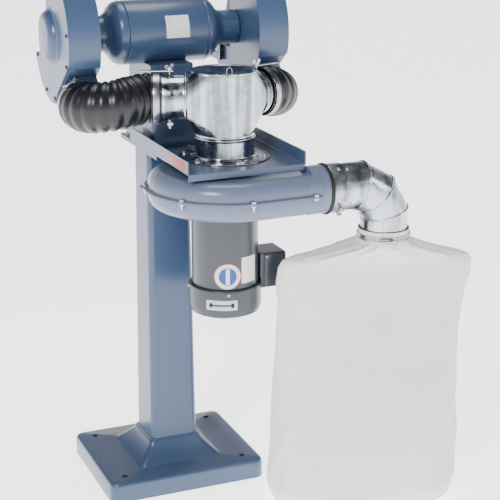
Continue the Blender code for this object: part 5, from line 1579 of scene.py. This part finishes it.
@dataclass
class Outlet:
    """The sheet elbow from the outlet down to the bag, its seams and draw strip, and the bag's band."""

    centre_x: float = BAG_X
    bend: float = 0.0860
    radius: float = 0.0500
    start_x: float = 0.2486
    low: float = 0.5900
    band_z: float = 0.6104

    def cut_circle(self, angle: float, radius: float, steps: int = SMOOTH) -> list[Vector]:
        """The ellipse where two gores meet.

        Args:
            angle: Angle of the meeting plane round the bend, from the vertical.
            radius: The duct's radius.
            steps: Points round it.

        Returns:
            The points.
        """
        y = AXIS.y - PIPE_OFFSET
        middle = Vector((self.centre_x - self.bend, y, SEAM_Z - self.bend))
        out = Vector((math.sin(angle), 0, math.cos(angle)))
        stretch = 1 / math.cos(math.radians(15))
        return circle(middle + self.bend * stretch * out, radius, stretch * out, NORTH, steps)

    def build(self) -> None:
        """Make the elbow with its seams and strip, and the band clamp."""
        y = AXIS.y - PIPE_OFFSET
        cuts = [math.radians(turn) for turn in (15, 45, 75)]

        def skin(radius: float) -> list[list[Vector]]:
            """The elbow's rings at a radius."""
            rings = [circle((self.start_x, y, SEAM_Z), radius, UP, NORTH)]
            rings += [self.cut_circle(angle, radius) for angle in cuts]
            rings.append(circle((self.centre_x, y, self.low), radius, EAST, NORTH))
            return rings

        duct = loft(skin(self.radius) + skin(self.radius - 0.0015)[::-1], closed=True)
        make_piece("elbow_sheet", duct, SHEET, "frame", ["outlet_elbow"], crisp=12.0)
        seams = []
        for angle in cuts:
            plane = Vector((math.cos(angle), 0, -math.sin(angle)))
            ridge = []
            for radius, shift in ((self.radius - 0.0006, -0.0024), (self.radius + 0.0012, -0.0018),
                                  (self.radius + 0.0019, 0.0), (self.radius + 0.0012, 0.0018),
                                  (self.radius - 0.0006, 0.0024)):
                ridge.append([point + shift * plane for point in self.cut_circle(angle, radius)])
            seams.append(loft(ridge, closed=True))
        make_piece("elbow_seams", joined(seams), SHEET, "frame", crisp=60.0)
        collar = ring(self.radius, self.radius + 0.0022, self.start_x - 0.0052, self.start_x + 0.0260,
                      (1, 0, 0),
                      (0, y, SEAM_Z))
        make_piece("elbow_collar", collar, SHEET, "frame")
        strip = block((-0.0060, self.radius + 0.0004, -0.0120), (0.0060, self.radius + 0.0034, 0.0120),
                      0.0008)
        lugs = [block((-0.0050, self.radius + 0.0020, side * 0.0075 - 0.0012),
                      (0.0050, self.radius + 0.0150, side * 0.0075 + 0.0012), 0.0006) for side in (-1, 1)]
        bolt = rod(0.0020, -0.0160, 0.0160, centre=(0, self.radius + 0.0105, 0), steps=20)
        nuts = [rod(0.0042, side * 0.0110 - 0.0016, side * 0.0110 + 0.0016,
                    centre=(0, self.radius + 0.0105, 0), steps=6)
                for side in (-1, 1)]
        draw = joined([strip, *lugs, bolt, *nuts])
        whole = (Matrix.Translation((self.start_x + 0.0080, y, SEAM_Z))
                 @ Matrix.Rotation(math.radians(-140), 4, "X"))
        bmesh.ops.transform(draw, matrix=whole, verts=draw.verts)
        make_piece("elbow_draw_bolt", draw, PLATED, "frame")
        seats = []
        for turn in (-150, -60, 30, 120):
            angle = math.radians(turn)
            way = Vector((0, math.cos(angle), math.sin(angle)))
            seats.append(screw(Vector((self.start_x + 0.0130, y, SEAM_Z)) + way * (self.radius + 0.0022), way,
                               0.0036,
                               Head.PAN, 0.5))
            seats.append(screw(Vector((self.start_x + 0.0330, y, SEAM_Z)) + way * self.radius, way, 0.0032,
                               Head.PAN))
        make_piece("elbow_screws", joined(seats), PLATED, "frame")
        inner = self.radius + 0.0057
        band = ring(inner, inner + 0.0016, self.band_z - 0.0065, self.band_z + 0.0065,
                    centre=(self.centre_x, y, 0),
                    edge=0.0004)
        housing = block((-0.0100, inner, -0.0060), (0.0100, inner + 0.0075, 0.0060), 0.0015)
        worm = rod(0.0038, -0.0150, 0.0120, (1, 0, 0), (0, inner + 0.0048, 0), 24, edge=0.0006)
        head = turned([(0, -0.0195), (0.0048, -0.0195), (0.0052, -0.0180), (0.0052, -0.0140), (0, -0.0140)],
                      (1, 0, 0), (0, inner + 0.0048, 0), steps=6)
        group = joined([housing, worm, head])
        turn = Matrix.Rotation(math.radians(-205), 4, "Z")
        bmesh.ops.transform(group, matrix=Matrix.Translation((self.centre_x, y, self.band_z)) @ turn,
                            verts=group.verts)
        make_piece("bag_band", joined([band, group]), BAND, "frame", ["bag_clamp"])
        # Painted shade: thin dark strips on the band stand in for the shade inside its slots.
        slots = []
        for step in range(64):
            slot = block((-0.0009, inner + 0.0010, -0.0034), (0.0009, inner + 0.0019, 0.0034), 0.0004)
            spin = Matrix.Rotation(math.tau * step / 64, 4, "Z") @ Matrix.Rotation(math.radians(18), 4, "Y")
            bmesh.ops.transform(slot, matrix=Matrix.Translation((self.centre_x, y, self.band_z)) @ spin,
                                verts=slot.verts)
            slots.append(slot)
        make_piece("bag_band_slots", joined(slots), DARK_INK_AND_PAINTED_SHADE, "frame")


@dataclass
class DustBag:
    """Flat-sewn cloth bag: gathered at the neck, wide at the shoulders and slack to the floor."""

    half_width: float = 0.2090
    turn: float = math.radians(-14.5)
    depth: float = 0.1200
    clear: float = 0.0030
    steps: int = 200
    levels: int = 170

    def shape(self, share: float) -> tuple[float, float, float, float]:
        """Height, half width, half depth and sideways shift part of the way down.

        Args:
            share: 0 at the neck and 1 at the foot.

        Returns:
            The four values in metres.
        """
        neck, half, deep = BAG_NECK, self.half_width, self.depth
        rows = [(0.00, 0.6264, neck, neck, 0.0), (0.03, 0.6100, neck, neck, 0.0),
                (0.06, 0.6010, 0.0590, neck, 0.0), (0.11, 0.5900, 0.0860, 0.0550, -0.004),
                (0.16, 0.5800, 0.1250, 0.0490, -0.008), (0.21, 0.5700, 0.1700, 0.0460, -0.013),
                (0.25, 0.5600, 0.1990, 0.0430, -0.015), (0.29, 0.5450, half, 0.0440, -0.015),
                (0.36, 0.5100, half + 0.0010, 0.0500, -0.018), (0.47, 0.4300, half - 0.0030, 0.0660, -0.024),
                (0.60, 0.3000, half - 0.0050, 0.0930, -0.028),
                (0.75, 0.1500, half - 0.0020, deep - 0.0020, -0.031),
                (0.88, 0.0450, half + 0.0030, deep, -0.034),
                (0.95, 0.0120, half - 0.0060, deep - 0.0100, -0.034),
                (1.00, self.clear, half - 0.0350, deep - 0.0380, -0.034)]
        for before, after in zip(rows, rows[1:]):
            if share <= after[0]:
                part = (share - before[0]) / (after[0] - before[0])
                values = [a + (b - a) * part for a, b in zip(before[1:], after[1:])]
                return values[0], values[1], values[2], values[3]
        return rows[-1][1:]

    def creases(self, across: float) -> float:
        """The long soft creases that fall from the neck.

        Args:
            across: Distance from the neck's line along the bag's width.

        Returns:
            How far the cloth is pushed out, from about -1 to 1.
        """
        made = 0.0
        for middle, width, lift in ((-0.115, 0.016, 1.0), (-0.062, 0.012, -0.8), (-0.018, 0.010, 1.1),
                                    (0.020, 0.012, -1.0), (0.058, 0.014, 0.9), (0.120, 0.020, -0.7)):
            made += lift * math.exp(-((across - middle) / width) ** 2)
        return made

    def cloth(self) -> bmesh.types.BMesh:
        """The bag's outside: rings down from the neck, closed at the foot.

        Returns:
            The cloth, one layer thick.
        """
        wide = Vector((math.cos(self.turn), math.sin(self.turn), 0))
        deep = Vector((-wide.y, wide.x, 0))
        neck = Vector((BAG_X, AXIS.y - PIPE_OFFSET, 0))
        rings = []
        for level in range(self.levels + 1):
            share = level / self.levels
            height, half_u, half_v, moved = self.shape(share)
            power = 1.0 - 0.12 * min(1.0, max(0.0, (share - 0.5) / 0.4))
            ring_points = []
            for step in range(self.steps):
                angle = math.tau * step / self.steps
                c, s = math.cos(angle), math.sin(angle)
                u = half_u * math.copysign(abs(c) ** power, c)
                v = half_v * math.copysign(abs(s) ** power, s)
                loose = min(1.0, max(0.0, (share - 0.03) / 0.10)) * min(1.0, (1 - share) / 0.08)
                gather = math.exp(-((share - 0.13) / 0.09) ** 2)
                fold = gather * 0.0055 * math.sin(angle * 13 + 1.7 * math.sin(angle * 3))
                slant = 0.10 * (0.5 - height)
                hang = 0.0050 * math.exp(-((share - 0.30) / 0.22) ** 2) * self.creases(u + slant)
                drape = 0.0100 * noise.noise(Vector((u * 9.0, math.sin(angle) * 2.0, height * 4.0)))
                small = 0.0040 * noise.noise(Vector((u * 26.0, math.sin(angle) * 5.0, height * 16.0)))
                out = loose * (fold + hang + drape + small)
                length = max(math.hypot(u, v), 1e-6)
                grown = 1 + out / length
                spot = neck + (moved + u * grown) * wide + v * grown * deep
                ring_points.append((spot.x, spot.y, height))
            rings.append(ring_points)
        bm = bmesh.new()
        before = None
        for points in rings:
            verts = [bm.verts.new(point) for point in points]
            loop = [bm.edges.new((verts[at - 1], verts[at])) for at in range(len(verts))]
            if before:
                bmesh.ops.bridge_loops(bm, edges=before + loop)
            before = loop
        bmesh.ops.contextual_create(bm, geom=before)
        bmesh.ops.smooth_vert(bm, verts=[vert for vert in bm.verts if vert.co.z < 0.59], factor=0.5,
                              use_axis_x=True, use_axis_y=True, use_axis_z=True)
        bmesh.ops.recalc_face_normals(bm, faces=bm.faces)
        return bm

    def build(self) -> None:
        """Make the bag in its filter cloth, with a thin wall."""
        made = make_piece("filter_bag", self.cloth(), BAG_CLOTH, "frame", ["dust_bag"], crisp=80.0)
        wall = made.modifiers.new("cloth", "SOLIDIFY")
        wall.thickness = 0.0012
        wall.offset = -1.0


def dress_rest() -> None:
    """Give every solid that still shows its own finish."""
    finishes = {"rotor": STEEL, "stator": WINDING, "impeller": SHEET, "blower_motor_rotor": STEEL,
                "left_bearing": STEEL, "right_bearing": STEEL}
    for name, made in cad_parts.items():
        if made.hide_render:
            continue
        finish = finishes.get(name, STEEL)
        made.data.materials.clear()
        made.data.materials.append(finish.build())
        log.info("solid %s keeps its shape", name)


@dataclass
class Studio:
    """Pale floor, soft lights and the camera."""

    eye: tuple[float, float, float] = (-0.9598, -2.8028, 1.4350)
    yaw: float = -0.3958
    pitch: float = 0.298
    lens: float = 98.63
    panels: tuple[tuple[float, float], ...] = ((0.0, 0.90), (0.12, 0.95), (0.26, 0.12), (0.40, 0.10),
                                               (0.52, 0.95), (0.66, 0.90), (0.80, 0.12), (1.0, 0.80))

    def light(self, name: str, place: Point, aim: Point, size: float, power: float) -> None:
        """A square area light.

        Args:
            name: Its name.
            place: Where it is.
            aim: What it points at.
            size: Its side.
            power: Its strength in watts.
        """
        lamp = bpy.data.lights.new(name, "AREA")
        lamp.size = size
        lamp.energy = power
        made = bpy.data.objects.new(name, lamp)
        bpy.context.scene.collection.objects.link(made)
        made.location = place
        made.rotation_euler = (Vector(aim) - Vector(place)).to_track_quat("-Z", "Y").to_euler()

    def build(self) -> None:
        """Make the floor, the world, the lights and the camera."""
        floor = bmesh.new()
        bmesh.ops.create_grid(floor, x_segments=1, y_segments=1, size=40.0)
        mesh = bpy.data.meshes.new("floor")
        floor.to_mesh(mesh)
        floor.free()
        ground = bpy.data.objects.new("floor", mesh)
        bpy.context.scene.collection.objects.link(ground)
        paint = bpy.data.materials.new("pale_floor")
        paint.use_nodes = True
        shader = paint.node_tree.nodes["Principled BSDF"]
        shader.inputs["Base Color"].default_value = linear("#f4f4f5")
        shader.inputs["Roughness"].default_value = 0.85
        shader.inputs["Emission Color"].default_value = linear("#ffffff")
        shader.inputs["Emission Strength"].default_value = 2.6
        mesh.materials.append(paint)
        world = bpy.data.worlds.new("studio")
        world.use_nodes = True
        tree = world.node_tree
        way = add_node(tree, "TexCoord").outputs["Generated"]
        split = add_node(tree, "SeparateXYZ", None, {0: way})
        across = add_node(tree, "MapRange", None, {"Value": split.outputs["X"], "From Min": -1.0})
        panels = add_node(tree, "ValToRGB", None, {"Fac": across.outputs["Result"]})
        ramp = panels.color_ramp
        for at, shade in self.panels[1:-1]:
            ramp.elements.new(at)
        for element, (at, shade) in zip(ramp.elements, self.panels):
            element.position = at
            element.color = (shade, shade, shade * 1.02, 1.0)
        height = add_node(tree, "MapRange", None,
                          {"Value": split.outputs["Z"], "From Min": 0.10, "From Max": 0.42})
        sky = add_node(tree, "Mix", {"data_type": "RGBA"},
                       {0: height.outputs["Result"], 6: (3.4, 3.4, 3.45, 1.0),
                                                            7: panels.outputs["Color"]})
        tree.links.new(sky.outputs[2], tree.nodes["Background"].inputs["Color"])
        tree.nodes["Background"].inputs["Strength"].default_value = 0.45
        bpy.context.scene.world = world
        self.light("key", (-2.4, -2.6, 3.2), (0.05, -0.1, 0.7), 1.0, 110.0)
        self.light("fill", (3.0, -2.2, 1.8), (0.1, -0.1, 0.6), 1.2, 16.0)
        self.light("over", (0.2, 0.6, 3.4), (0.05, -0.1, 0.6), 1.4, 30.0)
        lens = bpy.data.cameras.new("camera")
        lens.lens = self.lens
        lens.sensor_width = 36.0
        camera = bpy.data.objects.new("camera", lens)
        camera.location = self.eye
        camera.rotation_euler = (math.pi / 2 - self.pitch, 0.0, self.yaw)
        bpy.context.scene.collection.objects.link(camera)
        bpy.context.scene.camera = camera


def main() -> None:
    """Build the object, piece by piece, and the studio round it."""
    logging.basicConfig(level=logging.INFO, format="%(name)s %(message)s")
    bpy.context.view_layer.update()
    Studio().build()
    Pedestal().build()
    Grinder().build()
    for side in Side:
        GuardSet(side).build()
        Hose(side).build()
    Manifold().build()
    Blower().build()
    BlowerMotor().build()
    Outlet().build()
    DustBag().build()
    dress_rest()


if __name__ == "__main__":
    main()
